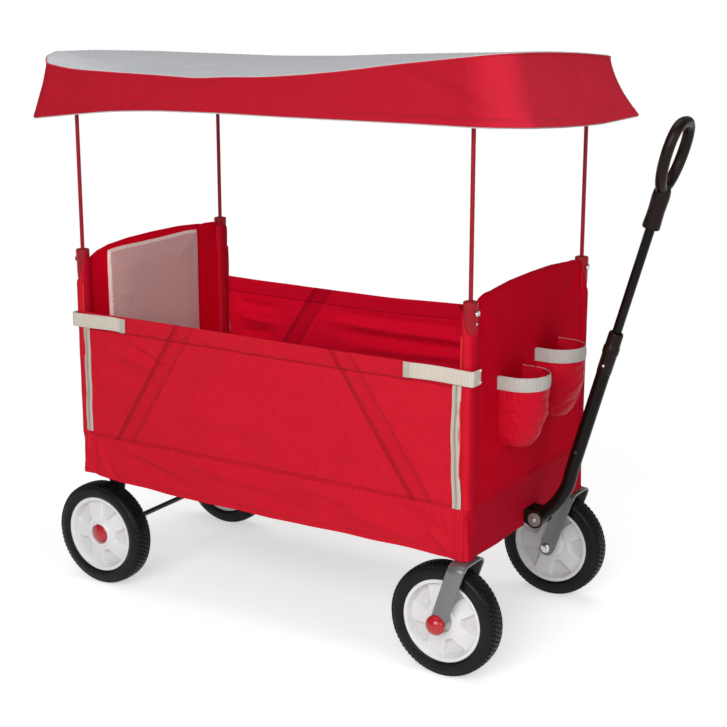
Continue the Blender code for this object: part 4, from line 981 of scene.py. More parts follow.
def side_relief(x, z, lines, seed):
    """How far a long side's cloth stands out of flat, with its hem, bands, seams and folds."""
    s = settings("cloth")
    hem_line = SIDE_TOP - s.hem_band
    zipped = ramp(np.abs(x), 0.364, 0.374)
    hem = 0.0011 * ramp(z, hem_line - 0.0008, hem_line + 0.001)
    seam = -0.0008 * bump(z, hem_line - 0.0012, 0.0012) - 0.0009 * bump(z, SEAM_Z + 0.004, 0.0016)
    gather = 0.0006 * puckers(z - hem_line, x, seed + 1, 0.012, 0.006) * (z < hem_line + 0.002)
    gather += 0.0007 * puckers(z - SEAM_Z, x, seed + 2, 0.014, 0.009)
    bands = 0.0
    for index in range(2):
        across = (x - band_middle(index, z)) * BAND_LEAN
        half = s.band / 2 * BAND_LEAN
        bands = bands + 0.0009 * ramp(half - np.abs(across), -0.0007, 0.0009)
        bands = bands - 0.0006 * bump(np.abs(across), half - 0.0035, 0.0008)
        bands = bands - 0.0004 * bump(across, half - 0.0085, 0.0008)
        left = across + half
        gather = gather + 0.001 * puckers(left, z / BAND_LEAN, seed + 5 + index, 0.0105, 0.006) * (z < hem_line)
        gather = gather + 0.0003 * puckers(across - half, z / BAND_LEAN, seed + 8 + index, 0.009, 0.004)
    share = (z - SEAM_Z) / (SIDE_TOP - SEAM_Z)
    slack = np.sin(np.pi * np.clip(share, 0, 1)) ** 0.6
    soft = 0.0011 * rumple(x * 7, z * 17, seed + 20) * slack + 0.0004 * rumple(x * 31, z * 60, seed + 30) * slack
    total = hem + seam + bands + s.rumple * (gather + soft + 2.4 * folds(x, z, lines) * slack)
    return total * (1 - zipped) + 0.0004 * zipped


def side_surface(side, x, z, v):
    """How far out a long side's cloth is at each height of the flat cloth, and how high it hangs there."""
    lines, seed = (NEAR_FOLDS, 11) if side < 0 else (FAR_FOLDS, 41)
    relief = side_relief(x, z, lines, seed)
    if side > 0:
        relief = relief * 0.9 - 0.002 * np.sin(np.pi * v) * np.sin(np.pi * (x + SIDE_HALF) / (2 * SIDE_HALF))
        z = z - (SIDE_TOP - table(FAR_TOP, x)) * v
    return SIDE_FACE + relief, z + 0.0009 * noise(x * 9, 0 * x, seed + 50) * v


def side_wall(side):
    """One long side as a closed cloth wall between its seam and its top hem."""
    x, v = np.meshgrid(np.linspace(-SIDE_HALF, SIDE_HALF, 262), np.linspace(0, 1, 78))
    low = SEAM_Z + 0.0004
    flat = low + (SIDE_TOP - low) * v
    face, z = side_surface(side, x, flat, v)
    front = np.stack([x, side * face, z], 2)
    thick = CLOTH + 0.0008 * ramp(v, 0.86, 0.9)
    back = np.stack([x, side * (face - thick), z], 2)
    edge = np.clip(np.minimum(v, 1 - v) * 240 / 3, 0, 1)[..., None] ** 0.5
    middle = (front + back) / 2
    shape = slab(middle + (front - middle) * (0.4 + 0.6 * edge), middle + (back - middle) * (0.4 + 0.6 * edge))
    plain = np.tile(np.stack([x, flat], 2).reshape(-1, 2), (2, 1))
    shape.uvs = [[tuple(plain[i]) for i in face] for face in shape.faces]
    return shape


class WAGON_OT_long_sides(bpy.types.Operator):
    """The drop side and the far side, with their hems and slanted bands"""
    bl_idname = "wagon.long_sides"
    bl_label = "Long sides"

    def execute(self, context):
        for name, node, side, body in (("drop_side_cloth", "drop_side", -1, "side_flap"),
                                       ("far_side_cloth", "far_side", 1, "root")):
            cloth = "side cloth" if side < 0 else "far cloth"
            wall = piece(name, side_wall(side), cloth, body, (node,), angle=60)
            draw_up(wall)
        return {"FINISHED"}


SKIRT_FOLDS = (
    (-0.33, 0.296, -0.18, 0.262, 0.01, 0.0022), (-0.3, 0.278, -0.15, 0.24, 0.009, -0.002),
    (-0.18, 0.29, 0.02, 0.268, 0.011, 0.0018), (-0.06, 0.262, 0.11, 0.25, 0.011, -0.0016),
    (0.08, 0.292, 0.24, 0.27, 0.01, 0.0016), (0.18, 0.262, 0.33, 0.238, 0.011, 0.002),
    (0.29, 0.29, 0.385, 0.252, 0.009, -0.0024), (0.34, 0.27, 0.388, 0.228, 0.008, 0.0026),
    (-0.385, 0.29, -0.35, 0.236, 0.008, 0.0024), (-0.372, 0.268, -0.33, 0.226, 0.007, -0.002),
)
# The hem's height along the near skirt, as (x, z)
NEAR_HEM = ((-0.42, 0.2295), (-0.38, 0.227), (-0.33, 0.2225), (-0.2, 0.2185), (0.05, 0.218), (0.21, 0.2195),
            (0.32, 0.22), (0.37, 0.2165), (0.42, 0.2155))


def hem_groove(below):
    """The stitched fold of a hem: a line sunk 8 mm above the edge and a rounder edge under it."""
    return -0.0007 * bump(below, SKIRT_HEM, 0.001) + 0.0005 * ramp(SKIRT_HEM - below, -0.001, 0.002)


def skirt_hem(side, x):
    """The height of a long skirt's lower edge."""
    return table(NEAR_HEM, x) if side < 0 else HEM_Z + 0.0015 * noise(x * 6, 0 * x, 77)


def skirt_wave(x):
    """How a long skirt swings in and out along its hem."""
    return 0.0012 * np.sin(x * 31) + 0.0008 * np.sin(x * 57 + 1)


def long_skirt(side):
    """A long skirt from its seam to its hem, its ends pressed flat under the end skirts."""
    x, v = np.meshgrid(np.linspace(-SKIRT_HALF, SKIRT_HALF, 250), np.linspace(0, 1, 32))
    top = SEAM_Z - 0.0002
    hem = skirt_hem(side, x)
    z = top + (hem - top) * v
    below = z - hem
    ends = np.clip((SKIRT_HALF - np.abs(x)) / 0.02, 0, 1) ** 0.5
    wave = v * ends * skirt_wave(x)
    gather = 0.001 * puckers(top - z, x, 61 + side, 0.013, 0.012)
    gather = gather + 0.0004 * puckers(below - SKIRT_HEM, x, 65, 0.009, 0.004)
    lines = [(side * -a, b, side * -c, d, w, h) for a, b, c, d, w, h in SKIRT_FOLDS] if side > 0 else SKIRT_FOLDS
    soft = 0.0013 * rumple(x * 8, z * 22, 67 + side) * v
    creases = 0.003 * bump(np.abs(x), 0.383, 0.01) * np.sin((top - z) * 120 + 1.0 + side) * ramp(v, 0.02, 0.25)
    creased = gather + soft + creases + 2.3 * folds(x, z, lines)
    relief = wave + settings("cloth").rumple * creased + hem_groove(below)
    relief -= 0.001 * bump(z, top, 0.0018)
    relief = np.clip(relief, -0.0026, 0.0062)
    relief = relief * (1 - ramp(np.abs(x), 0.372, 0.386)) - 0.0022 * ramp(np.abs(x), 0.378, 0.3905)
    face = SIDE_FACE + 0.0008 + relief
    front = np.stack([x, side * face, z], 2)
    back = np.stack([x, side * (face - 0.0019), z], 2)
    return slab(front, back)


def end_skirt(sign):
    """The cloth below an end wall, turned round both corners and tucked behind the long skirts."""
    face, radius = 0.4203, 0.014
    side_y = SIDE_FACE + 0.0006
    plan = [(0.384 + 0.0035 * k, -side_y + 0.003 - 0.001 * k) for k in range(3)]
    plan += arc((face - radius, -side_y + radius), radius, -90, 0, 10)
    plan += [(face, y) for y in np.linspace(-side_y + radius, side_y - radius, 118)[1:-1]]
    plan += arc((face - radius, side_y - radius), radius, 0, 90, 10)
    plan += [(0.384 + 0.0035 * k, side_y - 0.003 + 0.001 * k) for k in (2, 1, 0)]
    plan = np.array(plan)
    along = lengths(plan)
    step = np.gradient(plan, axis=0)
    normal = np.stack([step[:, 1], -step[:, 0]], 1)
    normal /= np.linalg.norm(normal, axis=1)[:, None]
    s, v = np.meshgrid(along, np.linspace(0, 1, 32))
    y = np.broadcast_to(plan[:, 1], s.shape)
    t = np.minimum(s, along[-1] - s)
    top = SEAM_Z + 0.003
    near = ramp(-y, 0.13, 0.23)
    hem = HEM_Z + (0.0106 * near if sign < 0 else -0.0022 * ramp(np.abs(y), 0.19, 0.227)) + 0 * s
    z = top + (hem - top) * v
    flat = 1 - ramp(np.abs(y), 0.185, 0.21)
    wave = 0.0014 * v * np.sin(y * 42 + 0.6) * flat
    corner = bump(np.abs(y), 0.222, 0.016)
    lines = ((-0.222, 0.3, -0.214, 0.24, 0.004, -0.0028), (-0.206, 0.296, -0.19, 0.236, 0.007, 0.0022),
             (0.216, 0.3, 0.206, 0.236, 0.005, -0.0022), (-0.15, 0.29, -0.06, 0.262, 0.01, 0.0012),
             (0.06, 0.286, 0.15, 0.258, 0.01, 0.0012), (-0.1, 0.25, 0.02, 0.24, 0.01, -0.001))
    gather = 0.0009 * puckers(top - z, s, 71 + sign, 0.012, 0.01)
    gather = gather + 0.001 * corner * puckers(top - z, s, 73, 0.008, 0.03)
    below = z - hem
    relief = wave + 0.0012 * corner * v + hem_groove(below) - 0.0008 * bump(z, top, 0.0018)
    relief = relief + settings("cloth").rumple * (gather + folds(y, z, lines) + 0.0008 * rumple(y * 9, z * 20, 75))
    relief = relief + 0.0013 * bump(t, 0.034, 0.015) * np.sin(520 * t + 1.0 + sign) * v ** 0.7
    relief = np.clip(relief, -0.0018, 0.006)
    relief = relief * np.clip((t - 0.004) / 0.01, 0, 1) - 0.0034 * ramp(z, top - 0.003, top)
    outward = np.broadcast_to(normal[None], (*s.shape, 2))
    outer = np.broadcast_to(plan[None], (*s.shape, 2)) + outward * relief[..., None]
    inner = outer - outward * 0.0019
    front = np.dstack([sign * outer, z])
    back = np.dstack([sign * inner, z])
    front[..., 1] *= sign
    back[..., 1] *= sign
    if sign > 0:
        return slab_with_slot(front, back)
    return slab(front, back)


def slab_with_slot(front, back):
    """The front skirt is cut away from its hem up where the handle's bracket passes."""
    low, high = 0.2482, 0.0225
    y = front[0, :, 1]
    left, right = np.searchsorted(y, -high), np.searchsorted(y, high)
    pieces = []
    for start, end, floor in ((0, left + 1, None), (left, right + 1, low), (right, len(y), None)):
        a, b = front[:, start:end].copy(), back[:, start:end].copy()
        if floor is not None:
            share = (a[..., 2] - a[-1:, :, 2]) / (a[:1, :, 2] - a[-1:, :, 2])
            for layer in (a, b):
                layer[..., 2] = floor + (layer[:1, :, 2] - floor) * share
        pieces.append(slab(a, b))
    return joined(pieces)


class WAGON_OT_skirts(bpy.types.Operator):
    """The cloth that hangs below the seam on all four sides"""
    bl_idname = "wagon.skirts"
    bl_label = "Skirts"

    def execute(self, context):
        cloth = "skirt cloth"
        for name, node, side in (("near_skirt_cloth", "near_skirt", -1), ("far_skirt_cloth", "far_skirt", 1)):
            skirt = piece(name, long_skirt(side), cloth, "root", (node,), angle=60)
            draw_up(skirt)
        for end, sign, body in ENDS:
            # Their faces turned to the wagon's front take painted shade from the skirt cloth.
            skirt = mark_front_shade(piece(f"{end}_end_skirt_cloth", end_skirt(sign), cloth, body,
                                     (f"{end}_end_skirt",), angle=60))
        return {"FINISHED"}


# End walls

ARCH = ((0.2118, 0.62), (0.204, 0.636), (0.188, 0.647), (0.166, 0.656), (0.135, 0.6625),
        (0.078, 0.6668), (0.0, 0.668))
REAR_ARCH_DROP = 0.006
FRONT_FOLDS = (
    (-0.2, 0.628, -0.15, 0.575, 0.008, -0.0022), (-0.19, 0.634, -0.12, 0.6, 0.009, 0.002),
    (-0.188, 0.56, -0.176, 0.42, 0.009, 0.0014), (0.196, 0.64, 0.186, 0.57, 0.0055, -0.0026),
    (0.186, 0.648, 0.17, 0.59, 0.006, 0.0022), (0.176, 0.64, 0.14, 0.6, 0.006, -0.0016),
    (0.1, 0.66, 0.12, 0.6, 0.011, 0.001), (-0.07, 0.655, -0.08, 0.59, 0.013, 0.001),
    (-0.16, 0.4, -0.05, 0.35, 0.016, 0.001), (0.19, 0.52, 0.186, 0.34, 0.007, 0.0018),
)
# Sewn lines of the flat pocket on the front wall, as (y, z)
POCKET_LINES = (((0.1564, 0.396), (0.16, 0.312), (0.14, 0.305), (-0.106, 0.316)),
                ((-0.108, 0.311), (0.148, 0.307)))


def arch_height(y, sign):
    """The top edge of an end wall: the rear one a little lower, and both uneven at their corners."""
    ys, zs = np.array(ARCH[::-1]).T
    z = np.interp(np.abs(y), ys, zs)
    if sign < 0:
        return z - REAR_ARCH_DROP * ramp(z, 0.63, 0.655) - 0.003 * ramp(-y, 0.17, 0.2) + 0.012 * ramp(y, 0.14, 0.2)
    return z + 0.011 * ramp(np.abs(y), 0.13, 0.205)


def line_groove(y, z, points, width=0.0009):
    """How near each grid point is to a sewn line, 1 on it."""
    best = np.full(y.shape, 1e9)
    for (y0, z0), (y1, z1) in zip(points, points[1:]):
        dy, dz = y1 - y0, z1 - z0
        t = np.clip(((y - y0) * dy + (z - z0) * dz) / (dy * dy + dz * dz), 0, 1)
        best = np.minimum(best, np.hypot(y - y0 - t * dy, z - z0 - t * dz))
    return bump(best, 0, width)


def end_wall(sign):
    """A padded wall whose top edge is one arch, soft at its corners."""
    columns = np.linspace(-WALL_HALF, WALL_HALF, 150)
    top = arch_height(columns, sign)
    low = SEAM_Z + 0.0004
    half = (WALL_OUT - WALL_IN) / 2
    middle = (WALL_OUT + WALL_IN) / 2
    thin = 1 - 0.5 * ramp(np.abs(columns), 0.16, WALL_HALF)
    outer, inner = [], []
    for v in np.linspace(0, 1, 92):
        z = low + (top - half - low) * v
        reach = half * (1 - (1 - thin) * ramp(z, 0.58, 0.61))
        soft = folds(columns, z, FRONT_FOLDS) + 0.0007 * rumple(columns * 9, z * 9, 83 + sign)
        soft = soft + 0.0007 * puckers(z - low, columns, 85, 0.013, 0.012)
        soft = soft * settings("cloth").rumple
        seam = -0.0009 * bump(z, low + 0.003, 0.0016)
        if sign > 0:
            for points in POCKET_LINES:
                seam = seam - 0.0014 * line_groove(columns, z, points, 0.0013)
        puff = 0.0012 * np.sin(np.pi * v) ** 0.5
        outer.append((z, middle + reach + np.maximum(soft + seam, -0.0022) + puff))
        plain = 0.0006 * rumple(columns * 7, z * 8, 91 + sign)
        inner.append((z, middle - reach + plain + 0 * z))
    rows = [np.stack([sign * x, columns, z], 1) for z, x in outer]
    z_end, x_out = outer[-1]
    x_in = inner[-1][1]
    for angle in np.radians(np.linspace(0, 180, 11)[1:-1]):
        centre, radius = (x_out + x_in) / 2, (x_out - x_in) / 2
        rows.append(np.stack([sign * (centre + radius * math.cos(angle)), columns,
                              z_end + half * math.sin(angle)], 1))
    rows += [np.stack([sign * x, columns, z], 1) for z, x in inner[::-1]]
    wall = grid(rows, close_rows=True)
    for j in (0, len(columns) - 1):
        wall.faces.append(tuple(i * len(columns) + j for i in range(len(rows))))
        wall.uvs.append([(0.0, 0.0)] * len(rows))
    return wall


def corner_roll(sign, side):
    """The cloth wrapped round a corner post, higher on its inner side, where it covers the socket."""
    turns = turns_round(40)
    inward = np.cos(turns - math.atan2(-side, -sign))
    top = ROLL_TOP + 0.0435 * ramp(inward, -1.0, 0.45)
    low = SEAM_Z + 0.0004
    seed = 101 + 3 * sign + side
    rows = []
    for v in np.concatenate([np.linspace(0, 0.86, 80), np.linspace(0.87, 1.0, 26)]):
        z = low + (ROLL_TOP - low) * min(1.0, v / 0.88) + (top - ROLL_TOP) * max(0.0, (v - 0.88) / 0.12)
        radius = ROLL_R + 0.0005 * rumple(turns * 1.3 + 9, z * 26, seed)
        radius = radius + 0.0005 * puckers(z - SEAM_Z, turns * ROLL_R, seed, 0.009, 0.02)
        radius = radius + 0.0004 * ramp(z, 0.603, 0.612) - 0.001 * bump(z, top, 0.004)
        rows.append(np.stack([sign * POST_X + radius * np.cos(turns), side * POST_Y + radius * np.sin(turns), z], 1))
    rows.append(np.stack([sign * POST_X + 0.0118 * np.cos(turns), side * POST_Y + 0.0118 * np.sin(turns),
                          top - 0.0003], 1))
    return grid(rows, wrap=True, cap=True)


def arch_path(sign, offset_x, lift, reach):
    return [(sign * offset_x, y, float(arch_height(np.array(y), sign)) + lift) for y in np.linspace(-reach, reach, 90)]


class WAGON_OT_end_walls(bpy.types.Operator):
    """The two arched end walls with their corner rolls and piping"""
    bl_idname = "wagon.end_walls"
    bl_label = "End walls"

    def execute(self, context):
        for end, sign, body in ENDS:
            # The front wall's cloth is a darker copy and the rear wall's a lighter copy of the same red: painted shade
            # and painted light.
            cloth = "wall cloth" if sign > 0 else "rear wall cloth"
            wall = piece(f"{end}_end_wall", end_wall(sign), cloth, body,
                         (f"{end}_end_panel",), angle=60)
            rolls = joined([corner_roll(sign, side) for side in (-1, 1)])
            # The rolls' faces turned to the front take painted shade from the skirt cloth.
            mark_front_shade(piece(f"{end}_corner_rolls", rolls, "skirt cloth", body, angle=60))
            pipes = []
            for side in (-1, 1):
                line = [(sign * 0.4005, side * (0.2244 + 0.0006 * math.sin(z * 70)), z)
                        for z in np.linspace(0.262, 0.598, 70)]
                pipes.append(tube(line, 0.0019, 10, up=(1, 0, 0)))
            piece(f"{end}_piping", joined(pipes), "piping", body, angle=60)
            edge_x = WALL_IN + 0.0015 if sign < 0 else WALL_OUT - 0.0015
            edge = tube(arch_path(sign, edge_x, -0.0012, 0.194), 0.0021, 10, up=(1, 0, 0))
            piece(f"{end}_arch_piping", edge, cloth, body, angle=60)
        return {"FINISHED"}


# Rows of small shapes set along lines by Geometry Nodes

def rows_tree():
    """Copies of one small shape along every line, turned to the line and to the line's own outward direction."""
    tree = bpy.data.node_groups.new("rows_along_lines", "GeometryNodeTree")
    for label, kind in (("Geometry", "NodeSocketGeometry"), ("Shape", "NodeSocketObject"),
                        ("Resample", "NodeSocketBool"), ("Spacing", "NodeSocketFloat"),
                        ("Size", "NodeSocketVector"), ("Variation", "NodeSocketFloat"),
                        ("Seed", "NodeSocketInt"), ("Material", "NodeSocketMaterial")):
        tree.interface.new_socket(label, in_out="INPUT", socket_type=kind)
    tree.interface.new_socket("Geometry", in_out="OUTPUT", socket_type="NodeSocketGeometry")
    start = add(tree, "NodeGroupInput").outputs
    line = add(tree, "GeometryNodeMeshToCurve", {"Mesh": start["Geometry"]}).outputs[0]
    even = add(tree, "GeometryNodeResampleCurve", {"Curve": line}, mode="LENGTH")
    tree.links.new(start["Spacing"], next(s for s in even.inputs if s.name == "Length"))
    chosen = add(tree, "GeometryNodeSwitch", input_type="GEOMETRY")
    tree.links.new(start["Resample"], chosen.inputs["Switch"])
    tree.links.new(line, chosen.inputs["False"])
    tree.links.new(even.outputs[0], chosen.inputs["True"])
    along = add(tree, "GeometryNodeInputTangent").outputs[0]
    first = add(tree, "FunctionNodeAlignRotationToVector", {"Vector": along}, axis="X")
    out = add(tree, "GeometryNodeInputNamedAttribute", {"Name": "out"}, data_type="FLOAT_VECTOR").outputs[0]
    second = add(tree, "FunctionNodeAlignRotationToVector", {"Rotation": first.outputs[0], "Vector": out},
                 axis="Z", pivot_axis="X")
    low = calc(tree, "SUBTRACT", 1.0, start["Variation"])
    high = calc(tree, "ADD", 1.0, start["Variation"])
    varied = add(tree, "FunctionNodeRandomValue", data_type="FLOAT")
    for label, value in (("Min", low), ("Max", high), ("Seed", start["Seed"])):
        tree.links.new(value, next(s for s in varied.inputs if s.name == label and s.enabled))
    factor = next(s for s in varied.outputs if s.enabled)
    size = add(tree, "ShaderNodeVectorMath", {0: start["Size"], "Scale": factor}, operation="SCALE").outputs[0]
    shape = add(tree, "GeometryNodeObjectInfo", {"Object": start["Shape"]}).outputs["Geometry"]
    placed = add(tree, "GeometryNodeInstanceOnPoints", {"Points": chosen.outputs[0], "Instance": shape,
                                                        "Rotation": second.outputs[0], "Scale": size})
    real = add(tree, "GeometryNodeRealizeInstances", {"Geometry": placed.outputs[0]})
    painted = add(tree, "GeometryNodeSetMaterial", {"Geometry": real.outputs[0], "Material": start["Material"]})
    end = add(tree, "NodeGroupOutput")
    tree.links.new(painted.outputs[0], end.inputs[0])
    return tree


def stitch_shape():
    """One stitch, half sunk: a six-sided bead one unit long."""
    rows = []
    for x, r in ((-0.5, 0.25), (-0.28, 0.5), (0.28, 0.5), (0.5, 0.25)):
        rows.append([(x, r * math.cos(t), r * math.sin(t)) for t in turns_round(6)])
    return grid(rows, wrap=True, cap=True)


def block_shape():
    """One tread block, narrower at its top."""
    rows = [[(sx * w / 2, sy * w / 2, z) for sx, sy in ((-1, -1), (1, -1), (1, 1), (-1, 1))]
            for z, w in ((-0.6, 1.0), (0.75, 0.94), (1.0, 0.78))]
    return grid(rows, wrap=True, cap=True)


def rows_mesh(name, lines, shape, size, spacing, finish_name, variation=0.08, seed=3, closed=False, flat=False):
    """The plain mesh of small shapes along lines, each line as (points, outward directions)."""
    if "rows" not in BUILT:
        BUILT["rows"] = rows_tree()
    mesh = bpy.data.meshes.new(name)
    points, edges, outs = [], [], []
    for line, out in lines:
        start = len(points)
        points += [tuple(p) for p in line]
        outs += [tuple(o) for o in out]
        edges += [(start + k, start + k + 1) for k in range(len(line) - 1)]
        if closed:
            edges.append((len(points) - 1, start))
    mesh.from_pydata(points, edges, [])
    mesh.attributes.new("out", "FLOAT_VECTOR", "POINT").data.foreach_set("vector", np.ravel(outs))
    obj = linked(name, mesh)
    unit = linked(name + "_shape", mesh_from(name + "_shape", shape.moved(x=-SHIFT), angle=20 if flat else 60))
    modifier = obj.modifiers.new("rows", "NODES")
    values = {"Shape": unit, "Resample": spacing > 0, "Spacing": max(spacing, 0.001), "Size": size,
              "Variation": variation, "Seed": seed, "Material": finish(finish_name)}
    modifier.node_group = BUILT["rows"]
    for item in BUILT["rows"].interface.items_tree:
        if item.in_out == "INPUT" and item.name in values:
            modifier[item.identifier] = values[item.name]
    obj.update_tag()
    made = made_plain(obj, unit)
    made.name = name
    made.transform(Matrix.Translation((SHIFT, 0, 0)))
    if not len(made.polygons):
        raise RuntimeError(name + " came out empty")
    return made


def stitches(name, lines, body, finish_name="thread", seed=5):
    s = settings("cloth")
    size = (s.stitch * 0.66, s.thread, s.thread)
    mesh = rows_mesh(name, lines, stitch_shape(), size, s.stitch, finish_name, seed=seed)
    return place_piece(name, mesh, finish_name, body)


def facing(points, x, y, z):
    """A line of points, and the one way out that all of them share."""
    return points, np.tile([float(x), float(y), float(z)], (len(points), 1))


def side_line(side, x, z, inner=False):
    """A line of points on a long side's cloth, with the way out of it."""
    face, height = side_surface(side, x, z, (z - SEAM_Z) / (SIDE_TOP - SEAM_Z))
    face = face + (-CLOTH - 0.0001 if inner else 0.0001)
    return facing(np.stack([x, side * face, height], 1), 0, -side if inner else side, 0)


def side_seams(side, inner=False):
    """The stitched lines of a long side: its hem, and both edges of each slanted band."""
    s = settings("cloth")
    hem_line = SIDE_TOP - s.hem_band
    x = np.linspace(-0.366, 0.366, 240)
    lines = [side_line(side, x, 0 * x + hem_line + 0.002, inner)]
    z = np.linspace(SEAM_Z + 0.006, hem_line - 0.002, 90)
    for index in range(2):
        for offset in (-s.band / 2 + 0.0035, -s.band / 2 + 0.0085, s.band / 2 - 0.0035):
            lines.append(side_line(side, band_middle(index, z) + offset / BAND_LEAN, z, inner))
    return lines


class WAGON_OT_seams(bpy.types.Operator):
    """The sewn lines of the long sides and the long skirts"""
    bl_idname = "wagon.seams"
    bl_label = "Seams"

    def execute(self, context):
        near = stitches("drop_side_stitches", side_seams(-1), "side_flap")
        far = stitches("far_side_stitches", side_seams(1) + side_seams(1, inner=True), "root", seed=7)
        lines = []
        for side in (-1, 1):
            x = np.linspace(-0.372, 0.372, 240)
            y = side * (SIDE_FACE + 0.001 + skirt_wave(x) * 0.9)
            lines.append(facing(np.stack([x, y, skirt_hem(side, x) + 0.0085], 1), 0, side, 0))
        skirts = stitches("long_skirt_stitches", lines, "root", seed=9)
        for obj, keep in ((near, "side"), (far, "side"), (skirts, "skirt")):
            draw_up(obj)
        return {"FINISHED"}


# Zips at the two ends of the drop side

def zip_line(sign, z):
    """Where a zip's coil runs, a little wavy."""
    base = -0.3977 + 0.0045 * ramp(z, 0.31, 0.52) if sign < 0 else 0.3945
    reach, phase = (0.0011, 0.4) if sign < 0 else (0.0022, 2.0)
    return base + reach * np.sin((z - 0.305) * 21 + phase) + 0.0006 * np.sin(z * 83)


def zip_tape(sign, inward):
    """One half of the tape, 7.5 mm wide, from the coil out."""
    z, w = np.meshgrid(np.linspace(0.313 if sign < 0 else 0.3055, 0.5165, 90), np.linspace(0.0006, 0.0078, 7),
                       indexing="ij")
    x = zip_line(sign, z) - sign * inward * w
    y = -(SIDE_FACE + 0.0009 + 0.0005 * noise(z * 55, w * 60, 131 + sign + 2 * inward) + 0.0004 * ramp(w, 0.003, 0.0))
    if inward < 0:
        y = y + 0.0012 * ramp(w, 0.003, 0.009)
    front = np.stack([x, y, z], 2)
    back = np.stack([x, y + 0.0006, z], 2)
    return slab(front, back)


class WAGON_OT_zips(bpy.types.Operator):
    """The two zips, each with a tape on the drop side, a tape on the corner and two rows of teeth"""
    bl_idname = "wagon.zips"
    bl_label = "Zips"

    def execute(self, context):
        for end, sign, body in ENDS:
            z = np.linspace(0.314 if sign < 0 else 0.3065, 0.516, 200)
            for inward, part, rides in ((1, "flap", "side_flap"), (-1, "corner", body)):
                tape = piece(f"{end}_zip_{part}_tape", zip_tape(sign, inward), "zip tape", rides,
                             angle=50)
                x = zip_line(sign, z) - sign * inward * 0.0011
                line = np.stack([x, 0 * z - SIDE_FACE - 0.0019, z + 0.00065 * inward], 1)
                mesh = rows_mesh(f"{end}_zip_{part}_teeth", [facing(line, 0, -1, 0)],
                                 stitch_shape(), (0.0013, 0.0028, 0.0013), 0.0026, "zip coil", 0.04)
                teeth = place_piece(f"{end}_zip_{part}_teeth", mesh, "zip coil", rides)
                if (end, part) == ("front", "flap"):
                    for obj in (tape, teeth):
                        draw_up(obj)
        return {"FINISHED"}


# Webbing

def webbing_band(path, width, thickness):
    """A strap along a path, its edges rounded."""
    return sweep(path, strip_section(thickness, width, thickness * 0.45))


class WAGON_OT_straps(bpy.types.Operator):
    """The two corner straps of the drop side and the strap that pulls the floor up"""
    bl_idname = "wagon.straps"
    bl_label = "Straps"

    def execute(self, context):
        y = -0.2308
        wrap_x, radius = 0.4253, 0.006
        for end, sign, x_end, z_mid in (("rear", -1, -0.2975, 0.529), ("front", 1, 0.2958, 0.5315)):
            flat = [(x_end + sign * d, y) for d in np.linspace(0, abs(sign * (wrap_x - radius) - x_end), 40)[:-1]]
            bend = [(sign * (wrap_x - radius + radius * math.cos(t)), y + radius - radius * math.sin(t))
                    for t in np.radians(np.linspace(90, 0, 9))]
            tail = [(sign * wrap_x, yy) for yy in np.linspace(y + radius, -0.205, 16)[1:]]
            plan = flat + bend + tail
            path = [(x, yy, z_mid + 0.001 * math.sin(x * 37 + 1) * min(1, k / 8)) for k, (x, yy) in enumerate(plan)]
            strap = piece(f"{end}_corner_webbing", webbing_band(path, 0.026, 0.0021), "webbing", "side_flap",
                          (f"{end}_corner_strap",), angle=50)
            patch_x = [x_end + sign * d for d in np.linspace(0.0006, 0.011, 6)]
            patch = webbing_band([(x, y - 0.0014, path[0][2]) for x in patch_x], 0.0266, 0.001)
            pad = piece(f"{end}_webbing_end", patch, "webbing end", "side_flap", angle=50)
            lines = []
            for dx in (0.002, 0.0135, 0.0165):
                zz = np.linspace(z_mid - 0.0112, z_mid + 0.0112, 20)
                x = 0 * zz + x_end + sign * dx
                depth = y - (0.0021 if dx < 0.011 else 0.0012)
                lines.append(facing(np.stack([x, 0 * zz + depth, zz], 1), 0, -1, 0))
            marks = stitches(f"{end}_webbing_stitches", lines, "side_flap", "pale thread")
            loops = []
            for dz in (-0.0098, 0.0098):
                place = (sign * (wrap_x + 0.0016), -0.2075, z_mid + dz)
                loops.append(lathe([(0.0016, 0.0008), (0.0024, 0.001), (0.0028, 0.0), (0.0024, -0.001),
                                    (0.0016, -0.0008)], 16, "X", place, sign < 0))
            rings = piece(f"{end}_webbing_loops", joined(loops), "bright steel", "side_flap")
            for obj in (strap, pad, marks, rings):
                if sign > 0:
                    draw_up(obj)
        path = smooth_path([(-0.15, 0, 0.2944), (-0.128, 0, 0.2944), (-0.112, 0, 0.2964), (-0.085, 0, 0.3124),
                            (-0.055, 0, 0.3124), (-0.03, 0, 0.2964), (-0.016, 0, 0.2944), (-0.007, 0, 0.2944)], 8)
        path = [(x, 0.0, max(0.2943, z)) for x, _, z in path]
        band = sweep(path, strip_section(0.028, 0.0018, 0.0008))
        piece("floor_pull_webbing", band, "webbing", "base_rear", ("fold_pull_strap",), angle=50)
        return {"FINISHED"}


# Back pads

